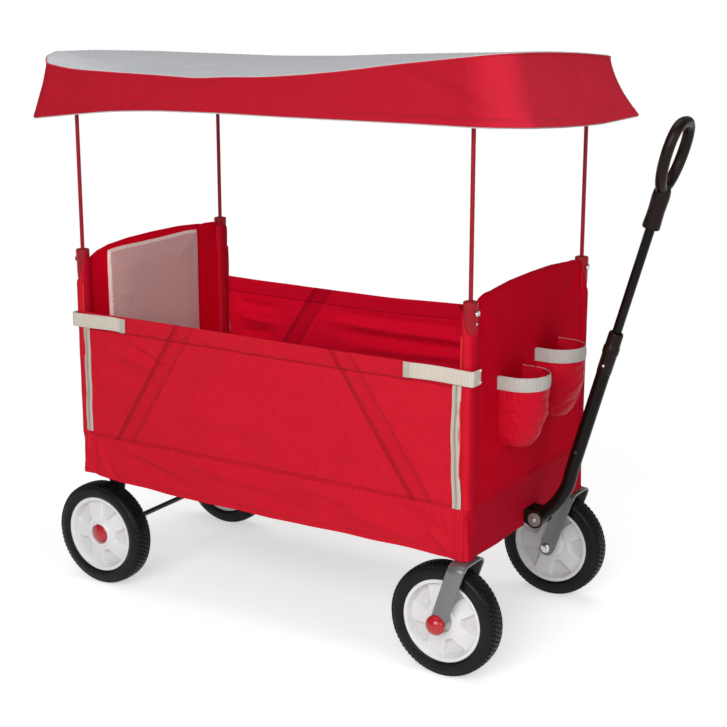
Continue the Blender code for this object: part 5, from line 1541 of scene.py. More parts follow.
def back_pad(sign):
    """A thin pad with a turned edge, crowned in the middle, its sides drawn in a little."""
    face, half, tall, low, high, depth = WALL_IN - 0.0003, 0.138, 0.164, 0.322, 0.65, 0.0083
    middle = -0.01 if sign < 0 else 0.0
    close = np.array([0, 0.0004, 0.001, 0.0018, 0.0028, 0.0041, 0.0056, 0.0072, 0.009])
    across = np.concatenate([close / half, np.linspace(0.078, 1, 50)])
    up = np.concatenate([close / tall, np.linspace(0.066, 1, 60)])
    u, v = np.meshgrid(np.concatenate([across - 1, 1 - across[-2::-1]]), np.concatenate([up - 1, 1 - up[-2::-1]]))
    corner = 1 - 0.02 * (np.abs(u) ** 6) * (np.abs(v) ** 10)
    y = middle + half * u * (1 - 0.012 * (1 - v * v)) * corner
    z = (low + high) / 2 + (high - low) / 2 * v * (1 - 0.01 * (1 - u * u) ** 2 * (v > 0)) * corner
    rise = np.minimum((1 - np.abs(u)) * half, (1 - np.abs(v)) * (high - low) / 2)
    edge = np.clip(rise / 0.0085, 0, 1)
    puff = depth * (0.62 * np.sqrt(1 - (1 - edge) ** 2) + 0.06 + 0.26 * ramp(rise, 0.004, 0.045))
    inside = ramp(rise, 0.009, 0.02)
    wrinkle = 0.001 * rumple(y * 14, z * 14, 151 + sign) + folds(y, z, (
        (-0.13, 0.56, -0.085, 0.548, 0.005, 0.0016), (-0.12, 0.615, -0.08, 0.6, 0.006, 0.001),
        (-0.02, 0.44, 0.07, 0.45, 0.014, -0.001), (0.05, 0.6, 0.1, 0.63, 0.01, 0.001)))
    gather = 0.0005 * puckers(rise - 0.0085, np.where(np.abs(u) * half > np.abs(v) * tall, z, y), 153, 0.01, 0.007)
    puff = np.clip(puff + (wrinkle * inside + gather) * settings("cloth").rumple, 0.0004, 0.0092)
    front = np.stack([sign * (face - puff), y, z], 2)
    back = np.stack([0 * y + sign * face, y, z], 2)
    return slab(front, back)


def colour_pad(mesh):
    """The sides of a pad take the paler cloth of its turned edge."""
    for polygon in mesh.polygons:
        polygon.material_index = int(abs(polygon.normal.x) < 0.96)


class WAGON_OT_pads(bpy.types.Operator):
    """The two back pads on the end walls"""
    bl_idname = "wagon.pads"
    bl_label = "Back pads"

    def execute(self, context):
        for end, sign, body in ENDS:
            pad = piece(f"{end}_back_pad", back_pad(sign), ["pad cloth", "pad binding"], body,
                        (f"{end}_seat_pad",), angle=60)
            colour_pad(pad.data)
        return {"FINISHED"}


# Cup pouches

POUCH_X = WALL_OUT + 0.0255
# Metres of cloth for each radian round a pouch
POUCH_ROUND = 0.045
POUCH_PROFILE = ((0.385, 0.0002), (0.3848, 0.01), (0.3855, 0.018), (0.3884, 0.0255), (0.3951, 0.0318),
                 (0.4063, 0.0362), (0.4243, 0.0396), (0.4468, 0.0422), (0.4827, 0.044), (0.4861, 0.0434),
                 (0.5125, 0.0434))
POUCH_CREASES = ((-1.5, 0.477, 0.2, 0.415, 0.005, -0.002), (-0.9, 0.481, 0.9, 0.427, 0.0045, 0.0018),
                 (-0.2, 0.481, 1.4, 0.451, 0.005, -0.0018), (-1.6, 0.444, -0.4, 0.398, 0.0045, 0.0022),
                 (0.1, 0.427, 1.3, 0.395, 0.005, -0.002), (-1.0, 0.415, 0.4, 0.391, 0.004, -0.0016),
                 (-0.7, 0.469, -0.1, 0.404, 0.0035, 0.0016))


def pouch_ring(turns, z, radius, y, creased=0.0, mirror=1):
    """A ring of a pouch: round in front, its two sides running straight back to the wall."""
    lean = -0.01 * ramp(0.452 - z, 0.0, 0.065)
    out = radius + creased
    front = np.cos(turns) > 0
    back = np.abs(turns) - math.pi / 2
    wall = WALL_OUT + 0.0005
    straight = np.clip(back / 0.85, 0, 1)
    turned = np.clip((back - 0.85) / (math.pi / 2 - 0.85), 0, 1)
    middle = POUCH_X + lean
    x = np.where(front, middle + out * np.cos(turns), middle + (wall - middle) * straight)
    side = np.where(front, out * np.sin(turns), np.sign(turns) * out * (1 - turned))
    return np.stack([np.maximum(x, wall), y + side * mirror, z + 0 * turns], 1)


def pouch_bag(y, seed, mirror):
    """A pouch below its elastic, creased where the cloth is gathered."""
    turns = turns_round(136, -math.pi)
    zs, rs = np.array(POUCH_PROFILE).T
    steps = lengths(np.array(POUCH_PROFILE))
    fine = np.linspace(0, steps[-1], 66)
    heights, radii = np.interp(fine, steps, zs), np.interp(fine, steps, rs)
    outer, inner = [], []
    for z, radius in zip(heights, radii):
        level = np.full_like(turns, z)
        soft = folds(turns * POUCH_ROUND, level,
                     [(a * POUCH_ROUND, b, c * POUCH_ROUND, d, w, h) for a, b, c, d, w, h in POUCH_CREASES])
        soft = soft + 0.0012 * rumple(turns * 1.1 + 9, level * 34, seed)
        soft = soft + 0.0012 * puckers(level - 0.486, turns * POUCH_ROUND, seed + 2, 0.012, 0.01)
        soft = soft * min(1.0, radius / 0.03) * float(ramp(0.487 - z, 0.0, 0.004))
        outer.append(pouch_ring(turns, z, radius, y, np.clip(soft, -0.004, 0.0024), mirror))
        inner.append(pouch_ring(turns, z + 0.0008, max(radius - 0.0013, 0.0001), y, soft * 0.8, mirror))
    return grid(outer + inner[::-1], wrap=True, cap=True)


def pouch_elastic(y, seed, mirror):
    """The elastic band round a pouch's mouth."""
    turns = turns_round(136, -math.pi)
    outer, inner = [], []
    for z in np.linspace(0.4905, 0.513, 14):
        wave = 0.0004 * np.sin(turns * 34) + 0.0004 * noise(turns * 4 + 20, 0 * turns + z * 90, seed)
        swell = 0.0008 * math.sin(math.pi * (z - 0.4905) / 0.0225)
        outer.append(pouch_ring(turns, z, 0.0448 + swell, y, wave, mirror) - [0, 0, 0.0006])
        inner.append(pouch_ring(turns, z, 0.0436, y, 0 * turns, mirror) + [0, 0, 0.0006])
    return grid(outer + inner[::-1], wrap=True, close_rows=True)


class WAGON_OT_pouches(bpy.types.Operator):
    """The two cup pouches with their elastic bands"""
    bl_idname = "wagon.pouches"
    bl_label = "Cup pouches"

    def execute(self, context):
        for key, y, lift, seed, mirror in (("near", -0.082, 0.0, 161, 1), ("far", 0.058, 0.019, 171, -1)):
            bag = piece(f"{key}_pouch_bag", pouch_bag(y, seed, mirror).moved(z=lift), "pouch nylon", "front_frame",
                        (f"cup_pouch_{key}",), angle=60)
            band = piece(f"{key}_pouch_elastic", pouch_elastic(y, seed + 4, mirror).moved(z=lift), "elastic",
                         "front_frame", angle=50)
            for side, end in ((-1, "left"), (1, "right")):
                edge = y + side * 0.0448
                flap = [(WALL_OUT + 0.0016 - 0.0006 * k / 6, edge + side * (0.006 * k / 6 - 0.0006), 0.5018 + lift)
                        for k in range(7)]
                piece(f"{key}_pouch_{end}_tab", sweep(flap, strip_section(0.0013, 0.0225, 0.0006)),
                      "elastic", "front_frame", angle=50)
        return {"FINISHED"}


# Canopy

ROOF_X = (-0.466, 0.467)
ROOF_HALF = 0.237
HEM_X = (-0.482, 0.506)
HEM_HALF = 0.26
UNDER_EDGE = 0.0035
HEM_LINE = 0.0115
# The point of each ring that stands at the near front corner
NEAR_FRONT_CORNER = 103
ROOF_NEAR = ((-0.466, 1.0035), (-0.427, 0.9965), (-0.392, 0.9925), (-0.2945, 0.991), (-0.2, 0.99),
             (-0.108, 0.988), (-0.06, 0.9925), (0.023, 0.9955), (0.107, 1.003), (0.187, 1.0125),
             (0.277, 1.0255), (0.39, 1.0396), (0.467, 1.0488))
ROOF_FAR = ((-0.466, 0.9925), (-0.264, 0.9935), (-0.115, 0.9985), (-0.007, 1.0052), (0.13, 1.0122),
            (0.218, 1.0163), (0.32, 1.019), (0.42, 1.02), (0.467, 1.015))
HEM_EDGE = ((-0.482, 0.9012), (-0.427, 0.908), (-0.352, 0.9175), (-0.278, 0.9255), (-0.184, 0.931),
            (-0.048, 0.934), (0.081, 0.9345), (0.2, 0.936), (0.33, 0.9375), (0.44, 0.938), (0.508, 0.94))
# How far the roof stands over the straight line between its long edges at the rear, as (y, rise)
REAR_RISE = ((-0.237, 0.0), (-0.222, 0.011), (-0.2, 0.0175), (-0.1, 0.0166), (0.0, 0.0123), (0.1, 0.0078),
             (0.2, 0.0018), (0.237, 0.0))
HEM_FRONT = ((-0.26, 0.0), (-0.176, 0.006), (-0.1, 0.012), (-0.02, 0.017), (0.065, 0.0205), (0.26, 0.021))
ROOF_CORNERS = (0.07, 0.08, 0.05, 0.022)
HEM_CORNERS = (0.075, 0.055, 0.05, 0.022)
SPINE = (-0.22, 0.24)
CANOPY_CLOTH = 0.002


def canopy_ring(low_x, high_x, half, radii):
    """The canopy's outline from above, in runs that match from one ring to the next."""
    rear, front = SPINE
    near_front, far_front, far_rear, near_rear = radii
    line = np.linspace(rear, front, 70)

    def run(x0, y0, x1, y1, count):
        share = np.linspace(0, 1, count + 2)[1:-1]
        return [(x0 + (x1 - x0) * s, y0 + (y1 - y0) * s) for s in share]
    points = [(x, -half) for x in line]
    points += run(front, -half, high_x - near_front, -half, 24)
    points += arc((high_x - near_front, -half + near_front), near_front, -90, 0, 18)
    points += run(high_x, -half + near_front, high_x, half - far_front, 44)
    points += arc((high_x - far_front, half - far_front), far_front, 0, 90, 18)
    points += run(high_x - far_front, half, front, half, 24)
    points += [(x, half) for x in line[::-1]]
    points += run(rear, half, low_x + far_rear, half, 26)
    points += arc((low_x + far_rear, half - far_rear), far_rear, 90, 180, 14)
    points += run(low_x, half - far_rear, low_x, -half + near_rear, 50)
    points += arc((low_x + near_rear, -half + near_rear), near_rear, 180, 270, 12)
    points += run(low_x + near_rear, -half, rear, -half, 26)
    return np.array(points)


def roof_height(x, y):
    """The roof between its two long edges, raised a little along its middle and over the rear bow."""
    share = (y + ROOF_HALF) / (2 * ROOF_HALF)
    near, far = table(ROOF_NEAR, x), table(ROOF_FAR, x)
    crown = settings("canopy").crown * (1 - np.minimum(1.0, np.abs(y) / ROOF_HALF) ** 2)
    rear = 1 - ramp(x, -0.44, -0.25)
    rise = np.interp(y, *np.array(REAR_RISE).T)
    return near + (far - near) * share + rise * rear + crown * (1 - rear)


def hem_height(x, y):
    """The height of the canopy's hem, which drops towards its far front corner."""
    ys, drops = np.array(HEM_FRONT).T
    return table(HEM_EDGE, x) - np.interp(y, ys, drops) * ramp(x, 0.1, 0.5)


def canopy_outlines(inset):
    """The hem, the roof's edge, its middle line and the way out, with the heights of hem and edge."""
    hem = canopy_ring(HEM_X[0] + inset, HEM_X[1] - inset, HEM_HALF - inset, HEM_CORNERS)
    roof = canopy_ring(ROOF_X[0] + inset, ROOF_X[1] - inset, ROOF_HALF - inset, ROOF_CORNERS)
    spine = np.stack([np.clip(roof[:, 0], *SPINE), 0 * roof[:, 1]], 1)
    out = roof - spine
    out /= np.linalg.norm(out, axis=1)[:, None]
    return hem, roof, spine, out, hem_height(hem[:, 0], hem[:, 1]), roof_height(roof[:, 0], roof[:, 1]) - inset


def canopy_rows(inset):
    """Rings from the hem up the skirt and in over the roof to its middle line, moved inwards by the inset."""
    hem, roof, spine, out, hem_z, top_z = canopy_outlines(inset)
    around = lengths(hem)
    rumpled = settings("cloth").rumple
    rows = []
    corner = sum(bump(np.hypot(roof[:, 0] - x, roof[:, 1] - y), 0, 0.085)
                 for x, y in ((ROOF_X[1], -ROOF_HALF), (ROOF_X[1], ROOF_HALF), (ROOF_X[0], ROOF_HALF),
                              (ROOF_X[0], -ROOF_HALF)))
    for v in np.concatenate([np.linspace(0, 0.14, 7), np.linspace(0.17, 0.93, 16), [0.955, 0.98]]):
        flat = hem + (roof - hem) * (1 - (1 - v) ** 1.5)
        slack = math.sin(math.pi * v) ** 0.7
        drop = (1 - v) * (top_z - hem_z)
        soft = 0.003 * rumple(around * 6, 0 * around + v * 1.3, 181) * slack
        soft = soft + 0.0014 * np.sin(around * 26 + 2 * v) * slack * corner
        soft = soft + 0.001 * puckers(drop - 0.004, around, 185, 0.016, 0.012)
        above = (1 - drop / np.maximum(drop, 1e-6)) + v * 0.09
        soft = soft + 0.0006 * puckers(above - 0.012, around, 187, 0.012, 0.006)
        crease = around - around[NEAR_FRONT_CORNER] + 0.14 - 0.2 * (1 - v)
        soft = soft + slack * (0.0045 * bump(crease, 0, 0.035) - 0.0025 * bump(crease + 0.05, 0, 0.03))
        soft = soft * rumpled - 0.0008 * bump(v * 0.09, HEM_LINE, 0.0014)
        soft = soft + 0.0005 * ramp(HEM_LINE - v * 0.09, -0.001, 0.002)
        rows.append(np.column_stack([flat + out * soft[:, None], hem_z + (top_z - UNDER_EDGE - hem_z) * v]))
    for inward, down in ((0.0, 0.003), (0.0006, 0.0016), (0.002, 0.0005)):
        flat = roof - out * inward
        rows.append(np.column_stack([flat, roof_height(flat[:, 0], flat[:, 1]) - inset - down]))
    for share in np.concatenate([np.linspace(0.016, 0.1, 8), np.linspace(0.13, 1.0, 34)]):
        flat = roof + (spine - roof) * share
        z = roof_height(flat[:, 0], flat[:, 1]) - inset
        soft = 0.0016 * rumple(flat[:, 0] * 7 + 3, flat[:, 1] * 7, 191) * min(1.0, share * 5)
        soft = soft + 0.0007 * puckers(0 * around + share * 0.235, around, 193, 0.017, 0.016) * (share < 0.5)
        rows.append(np.column_stack([flat, z + soft * rumpled]))
    return rows


SKIRT_ROWS = 27


def colour_roof(mesh, rows, count):
    """The faces above the skirt, told by how far up the cloth their UV lies, take the grey."""
    up = lengths(np.array([row[len(row) // 3] for row in rows]))
    first, last = up[count - SKIRT_ROWS], up[count + SKIRT_ROWS - 1]
    layer = mesh.uv_layers["cloth"].data
    for polygon in mesh.polygons:
        height = sum(layer[i].uv.y for i in polygon.loop_indices) / polygon.loop_total
        polygon.material_index = int(height < first or height > last)


def canopy_skirt_line(rise, inset=0.0):
    """A line round the skirt this far above its hem, and the way out of it."""
    hem, roof, _, out, low, top = canopy_outlines(inset)
    share = (rise / (top - UNDER_EDGE - low))[:, None]
    flat = hem + (roof - hem) * (1 - (1 - np.clip(share, 0, 1)) ** 1.5)
    return np.column_stack([flat, low + rise]), np.column_stack([out, 0 * low])


class WAGON_OT_canopy(bpy.types.Operator):
    """The canopy: grey roof and red skirt as one cloth, with piping and a hem lining"""
    bl_idname = "wagon.canopy"
    bl_label = "Canopy"

    def execute(self, context):
        outer, inner = canopy_rows(0.0), canopy_rows(CANOPY_CLOTH)
        rows = inner[::-1] + outer
        shape = grid(rows, wrap=True)
        cover = piece("canopy_sheet", shape, ["canopy red", "canopy grey"], "canopy_rear",
                      ("canopy_cover",), angle=60)
        colour_roof(cover.data, rows, len(outer))
        # Faces turned to the front take painted light from the canopy's red.
        mark_front_shade(cover, -0.1, 1.0)
        piping = settings("canopy").piping
        roof = canopy_ring(ROOF_X[0], ROOF_X[1], ROOF_HALF, ROOF_CORNERS)
        z = roof_height(roof[:, 0], roof[:, 1])
        line = np.column_stack([roof, z - 0.0026])
        cord = piece("canopy_piping", tube(line, piping, 10, closed=True), "canopy piping", "canopy_rear",
                     angle=60)
        rings = []
        for rise, inset in ((0.0, 0.0021), (HEM_LINE, 0.0024), (HEM_LINE, 0.0034), (-0.0022, 0.0034),
                            (-0.0022, 0.0004)):
            points, _ = canopy_skirt_line(max(rise, 0.0), inset)
            points[:, 2] += min(rise, 0.0)
            rings.append(points)
        lining = piece("canopy_hem_lining", grid(rings, wrap=True, close_rows=True), "hem lining",
                       "canopy_rear", angle=40)
        sewn, normal = canopy_skirt_line(HEM_LINE)
        sewn = sewn + normal * 0.0003
        s = settings("cloth")
        size = (s.stitch * 0.66, s.thread, s.thread)
        marks = rows_mesh("canopy_hem_stitches", [(sewn, normal)], stitch_shape(), size, s.stitch, "thread",
                          closed=True)
        seam = place_piece("canopy_hem_stitches", marks, "thread", "canopy_rear")
        for obj in (cover, cord, lining, seam):
            draw_up(obj)
        return {"FINISHED"}


class WAGON_OT_bows(bpy.types.Operator):
    """The two bows that hold the canopy, each bent from one length of tube"""
    bl_idname = "wagon.bows"
    bl_label = "Canopy bows"

    def execute(self, context):
        for end, sign, _ in ENDS:
            node = f"{end}_canopy_bow"
            low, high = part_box(node)
            bent = hoop(-POST_Y, POST_Y, low.z + 0.0002, high.z - POLE_R, 0.028, (30, 12, 30))
            path = [(sign * POST_X, y, z) for y, z in bent]
            piece(f"{end}_bow", tube(path, POLE_R, 20, up=(1, 0, 0)), "pole paint", f"canopy_{end}",
                  (node,), angle=50)
        return {"FINISHED"}


# Wheels

RIM_STEPS = 240


def pocket_depth(radius, angle):
    """How deep the pockets between the spokes are, from 0 on a spoke to 1 in the middle of a pocket."""
    count = settings("wheels").pockets
    turn = np.abs((angle * count / (2 * math.pi) + 0.5) % 1.0 - 0.5) * 2 * math.pi / count
    half = np.interp(radius, [0.03, 0.06], [0.2, 0.36])
    along = ramp(radius, 0.032, 0.04) * (1 - ramp(radius, 0.0632, 0.066))
    return along * (1 - ramp(turn * radius - half * radius, -0.005, 0.0015))


def rim_face(front):
    """One side of the rim as rings from the bore to the lip, over the whole turn."""
    if front:
        profile = ((0.0054, 0.011), (0.012, 0.0112), (0.0192, 0.0113), (0.0198, 0.0118), (0.02, 0.0182),
                   (0.0204, 0.0186), (0.0226, 0.0187), (0.0234, 0.0182), (0.0262, 0.0155), (0.0655, 0.005),
                   (0.0664, 0.007), (0.0671, 0.016), (0.0677, 0.0176), (0.069, 0.0183), (0.0725, 0.0183),
                   (RIM_R, 0.0176))
    else:
        profile = ((0.0054, 0.0155), (0.0185, 0.0155), (0.0193, 0.0151), (0.0245, 0.012), (0.0655, 0.0085),
                   (0.0664, 0.0092), (0.0671, 0.016), (0.0677, 0.0174), (0.069, 0.018), (0.0725, 0.018),
                   (RIM_R, 0.0176))
    radii, heights = np.array(profile).T
    fine = np.unique(np.concatenate([radii, np.linspace(0.025, 0.0655, 34), np.linspace(0.06, 0.0655, 9)]))
    level = np.interp(fine, radii, heights)
    angles = turns_round(RIM_STEPS)
    r, a = np.meshgrid(fine, angles, indexing="ij")
    z = np.broadcast_to(level[:, None], r.shape)
    deep = 0.0022 + 0.1 * (0.064 - r)
    floor = np.minimum(z, np.maximum(deep - (0.0016 if front else 0.0), 0.0006 if front else 0.0015))
    z = z + (floor - z) * pocket_depth(r, a)
    z = z - 0.0007 * bump(r, 0.0262, 0.0008) * (1 - pocket_depth(r, a))
    if not front:
        z = -z
    return np.stack([r * np.cos(a), r * np.sin(a), z], 2)


def rim_shape():
    """The moulded wheel: two faces joined by the bore and by the drum that the tyre sits on."""
    front, back = rim_face(True), rim_face(False)
    angles = turns_round(RIM_STEPS)

    def ring(radius, height):
        return np.stack([radius * np.cos(angles), radius * np.sin(angles), 0 * angles + height], 1)
    rows = list(front)
    rows += [ring(RIM_R, 0.012), ring(0.0728, 0.0), ring(RIM_R, -0.012)]
    rows += list(back[::-1])
    return grid(rows, wrap=True, close_rows=True)


TYRE_SECTION = ((0.073, 0.015), (0.0741, 0.0183), (0.0756, 0.0194), (0.079, 0.0206), (0.084, 0.0212),
                (0.089, 0.0208), (0.093, 0.0198), (0.096, 0.018), (0.098, 0.015), (0.099, 0.01),
                (0.0995, 0.005), (0.0996, 0.0))


def tyre_shape():
    """The tyre under its blocks."""
    half = list(TYRE_SECTION)
    profile = half + [(r, -h) for r, h in reversed(half[:-1])]
    return lathe(profile, 132)


def tread_lines(index):
    """One row of blocks round the tyre: where they sit and which way they face."""
    s = settings("wheels")
    width = -0.016 + 0.032 * index / (s.rows - 1)
    heights, radii = np.array([(h, r) for r, h in TYRE_SECTION[::-1]][:8]).T
    radius = float(np.interp(abs(width), heights, radii))
    slope = (float(np.interp(abs(width) + 0.001, heights, radii)) - radius) / 0.001
    lean = math.atan(-slope) * (1 if width > 0 else -1)
    turns = (np.arange(s.blocks) + (0.5 if index % 2 else 0.0)) * 2 * math.pi / s.blocks
    points = np.stack([radius * np.cos(turns), radius * np.sin(turns), 0 * turns + width], 1)
    out = np.stack([math.cos(lean) * np.cos(turns), math.cos(lean) * np.sin(turns),
                    0 * turns + math.sin(lean)], 1)
    return points, out


def tread_mesh():
    """The blocks of the tread, drawn once round +Z."""
    s = settings("wheels")
    lines = [tread_lines(index) for index in range(s.rows)]
    size = (0.0074, 0.0062, s.block_height)
    mesh = rows_mesh("tread_master", lines, block_shape(), size, 0.0, "tyre rubber", 0.05, closed=True, flat=True)
    mesh.transform(Matrix.Translation((-SHIFT, 0, 0)))
    return mesh


def turned_mesh(master, name, place, flip):
    """A copy of a wheel part with its +Z face turned to -Y, or to +Y when flipped."""
    mesh = master.copy()
    mesh.name = name
    turn = Matrix.Rotation(math.radians(90), 4, "X")
    if flip:
        turn = turn @ Matrix.Rotation(math.pi, 4, "X")
    x, y = place
    mesh.transform(Matrix.Translation((x + SHIFT, y, TYRE_R)) @ turn)
    return mesh


class WAGON_OT_wheels(bpy.types.Operator):
    """Four moulded wheels with five pockets on each side, and their block tyres"""
    bl_idname = "wagon.wheels"
    bl_label = "Wheels"

    def execute(self, context):
        rim = mesh_from("rim_master", rim_shape().moved(x=-SHIFT), angle=34)
        x, y, z = np.array([tuple(v.co) for v in rim.vertices]).T
        radius, face = np.hypot(x, y), ramp(0.0165 - np.abs(z), 0.0, 0.002)
        edge = ramp(radius, 0.058, 0.0655) * (1 - ramp(radius, 0.066, 0.068))
        # Painted shade in the wheel's pockets and on the lip's inner wall, stored on the rim for its finish to darken.
        mark(rim, "hollow_shade", face * np.clip(0.8 * pocket_depth(radius, np.arctan2(y, x)) + 0.4 * edge, 0, 1))
        tyre = mesh_from("tyre_master", tyre_shape().moved(x=-SHIFT), angle=50)
        tread = tread_mesh()
        for key, place in WHEEL_PLACES.items():
            flip, body = key.endswith("far"), f"wheel_{key}"
            place_piece(f"{key}_rim", turned_mesh(rim, f"{key}_rim", place, flip), "white moulding", body,
                        (f"{key}_wheel",))
            place_piece(f"{key}_tyre_wall", turned_mesh(tyre, f"{key}_tyre_wall", place, flip),
                        "tyre rubber", body, (f"{key}_tyre",))
            place_piece(f"{key}_tread", turned_mesh(tread, f"{key}_tread", place, flip), "tyre rubber",
                        body)
        for master in (rim, tyre, tread):
            bpy.data.meshes.remove(master)
        return {"FINISHED"}


CAP_DOME = ((0.0, 0.0135), (0.0022, 0.0134), (0.006, 0.0128), (0.009, 0.0117), (0.0125, 0.0095),
            (0.0157, 0.0062), (0.0174, 0.003), (0.0178, 0.0012), (0.0178, 0.0), (0.0, 0.0))
HUB_DOME = ((0.0, 0.0086), (0.0059, 0.0086), (0.0078, 0.008), (0.0085, 0.0072), (0.0094, 0.007),
            (0.0142, 0.0058), (0.0175, 0.0036), (0.0186, 0.0014), (0.0188, 0.0), (0.0, 0.0))
# Half of a fork strip's section as (along the wagon, out), with the raised rib on its outer face
FORK_INNER = ((-0.0165, -0.0014), (-0.0159, -0.002), (-0.0104, -0.002), (-0.0088, -0.001))
FORK_OUTER = ((0.0165, 0.0014), (0.0159, 0.002), (0.0104, 0.002), (0.0088, 0.0027))


class WAGON_OT_casters(bpy.types.Operator):
    """The front casters: bent strip forks, stems, bolts, nuts, domed caps and hub spacers"""
    bl_idname = "wagon.casters"
    bl_label = "Casters"

    def execute(self, context):
        for key, side in SIDES:
            y = side * POST_Y
            bend, half, foot, top = 0.014, 0.035, TYRE_R, 0.2115
            lean, widths = [], []
            for a, z in hoop(y - half, y + half, foot - 0.015, top, bend, (60, 10, 14)):
                share = min(1.0, max(0.0, (top - bend * 0.4 - z) / (top - foot)))
                lean.append((POST_X - TRAIL * share, a, z))
                below = foot - z
                full = 1.0 - 0.06 * share
                widths.append(full if below < 0 else math.sqrt(max(0.03, 1 - (below / 0.0158) ** 2)) * full)
            section = [*FORK_INNER, *((-x, n) for x, n in FORK_INNER[::-1])]
            section += [*FORK_OUTER, *((-x, n) for x, n in FORK_OUTER[::-1])]
            strip = sweep_flat(np.array(lean), section, widths)
            parts = [strip, lathe([(0.006, 0.0), (0.01, 0.0), (0.0105, 0.0005), (0.0105, 0.0021), (0.01, 0.0026),
                                   (0.006, 0.0026)], 40, "Z", (POST_X, y, 0.2135))]
            piece(f"{key}_fork_strip", joined(parts), "fork paint", f"caster_{key}",
                  (f"caster_fork_{key}",), angle=38)
            bolt = [(0.0, 0.0395), (0.0046, 0.0395), (0.005, 0.039), (0.005, -0.0385), (0.0046, -0.039),
                    (0.0, -0.039)]
            axle = [lathe(bolt, 24, "Y", (POST_X - TRAIL, y, TYRE_R), side > 0)]
            nut = [(0.0, 0.0062), (0.004, 0.0062), (0.0052, 0.0055), (0.0078, 0.005), (0.0088, 0.004),
                   (0.009, 0.0004), (0.0, 0.0004)]
            axle.append(lathe(nut, 6 * 8, "Y", (POST_X - TRAIL, y - side * 0.0373, TYRE_R), side < 0))
            piece(f"{key}_caster_bolt", joined(axle), "bright steel", f"caster_{key}",
                  (f"caster_axle_{key}",), angle=35)
            cap = lathe(CAP_DOME, 48, "Y", (POST_X - TRAIL, y + side * 0.0373, TYRE_R), side > 0)
            piece(f"{key}_caster_dome", cap, "cap moulding", f"caster_{key}",
                  (f"caster_cap_{key}",), angle=40)
            rings = []
            for out in (-1, 1):
                start = 0.0115 if out == side else 0.0158
                rings.append(lathe([(0.0056, 0.0), (0.0082, 0.0), (0.0086, 0.0006), (0.0086, 0.0324 - start),
                                    (0.0082, 0.0328 - start), (0.0056, 0.0328 - start)], 32, "Y",
                                   (POST_X - TRAIL, y + out * start, TYRE_R), out > 0))
            piece(f"{key}_hub_spacers", joined(rings), "spacer", f"caster_{key}", angle=40)
        return {"FINISHED"}


def sweep_flat(path, section, widths):
    """A strip bent in the YZ plane and raked along X: its width stays along X."""
    tangents = np.gradient(path, axis=0)
    tangents[:, 0] = 0
    tangents /= np.linalg.norm(tangents, axis=1)[:, None]
    normal = np.stack([0 * tangents[:, 0], -tangents[:, 2], tangents[:, 1]], 1)
    section = np.asarray(section)
    widths = np.asarray(widths)[:, None, None]
    along_x = np.array([1.0, 0.0, 0.0])
    rows = (path[:, None] + along_x * section[None, :, :1] * widths + normal[:, None] * section[None, :, 1:])
    return grid(rows, wrap=True, cap=True)


class WAGON_OT_rear_axle_ends(bpy.types.Operator):
    """The rear axle's rod and the domed caps over the rear hubs"""
    bl_idname = "wagon.rear_axle_ends"
    bl_label = "Rear axle"

    def execute(self, context):
        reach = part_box("rear_axle")[1].y
        rod = [(0.0, reach), (0.0042, reach), (0.005, reach - 0.0008), (0.005, -reach + 0.0008),
               (0.0042, -reach), (0.0, -reach)]
        piece("rear_axle_rod", lathe(rod, 28, "Y", (REAR_AXLE_X, 0, TYRE_R)), "black steel", "root",
              ("rear_axle",), angle=40)
        for key, side in SIDES:
            cap = lathe(HUB_DOME, 48, "Y", (REAR_AXLE_X, side * (REAR_WHEEL_Y + 0.0117), TYRE_R), side > 0)
            piece(f"rear_{key}_hub_dome", cap, "cap moulding", "root", (f"rear_hub_cap_{key}",),
                  angle=40)
        return {"FINISHED"}


# Sockets and their buttons

BUTTON_Z = 0.636

class WAGON_OT_sockets(bpy.types.Operator):
    """The moulded sockets on the corner posts with their oval buttons and rivets"""
    bl_idname = "wagon.sockets"
    bl_label = "Sockets"

    def execute(self, context):
        outside = [(0.0043, 0.6548), (0.0098, 0.655), (0.0112, 0.6546), (0.0122, 0.6536), (0.0125, 0.652),
                   (0.0125, 0.6405), (0.012, 0.6395), (0.0117, 0.6385), (0.0117, 0.614), (0.0114, 0.606),
                   (0.0108, 0.6004), (0.0098, 0.6), (0.0098, 0.6228), (0.0043, 0.6228)]
        for end, sign, body in ENDS:
            for key, side in SIDES:
                lift = 0.0 if (end, key) == ("front", "near") else 0.005
                shape = lathe(outside, 56, "Z", (sign * POST_X, side * POST_Y, lift))
                seat = bevelled_plate(oval((side * POST_Y, BUTTON_Z + lift), 0.0076, 0.0062, 28), 0.004, 0.0008, "YZ",
                                      sign * (POST_X + 0.0112))
                piece(f"{end}_{key}_socket_cup", joined([shape, seat]), "red moulding", body,
                      (f"{end}_socket_{key}",), angle=40)
                pin = bevelled_plate(oval((side * POST_Y, BUTTON_Z + lift), 0.0064, 0.0048, 28), 0.0082, 0.0012, "YZ",
                                     sign * (POST_X + 0.0107))
                piece(f"{end}_{key}_button_head", pin, "bright steel", f"button_{end}_{key}",
                      (f"{end}_button_{key}",), angle=50)
                dome = lathe([(0.0, 0.0016), (0.0012, 0.0014), (0.0021, 0.0007), (0.0023, 0.0), (0.0, 0.0)], 20, "X",
                             (sign * (POST_X + 0.0119), side * POST_Y, 0.6185 + lift), sign < 0)
                piece(f"{end}_{key}_socket_rivet", dome, "spacer", body, angle=50)
        return {"FINISHED"}


def oval(middle, half_width, half_height, count):
    """An upright-sided oval outline round (y, z)."""
    flat = half_width - half_height
    right = arc((flat, 0), half_height, -90, 90, count // 2)
    left = arc((-flat, 0), half_height, 90, 270, count // 2)
    return [(middle[0] + y, middle[1] + z) for y, z in right + left]


# Handle

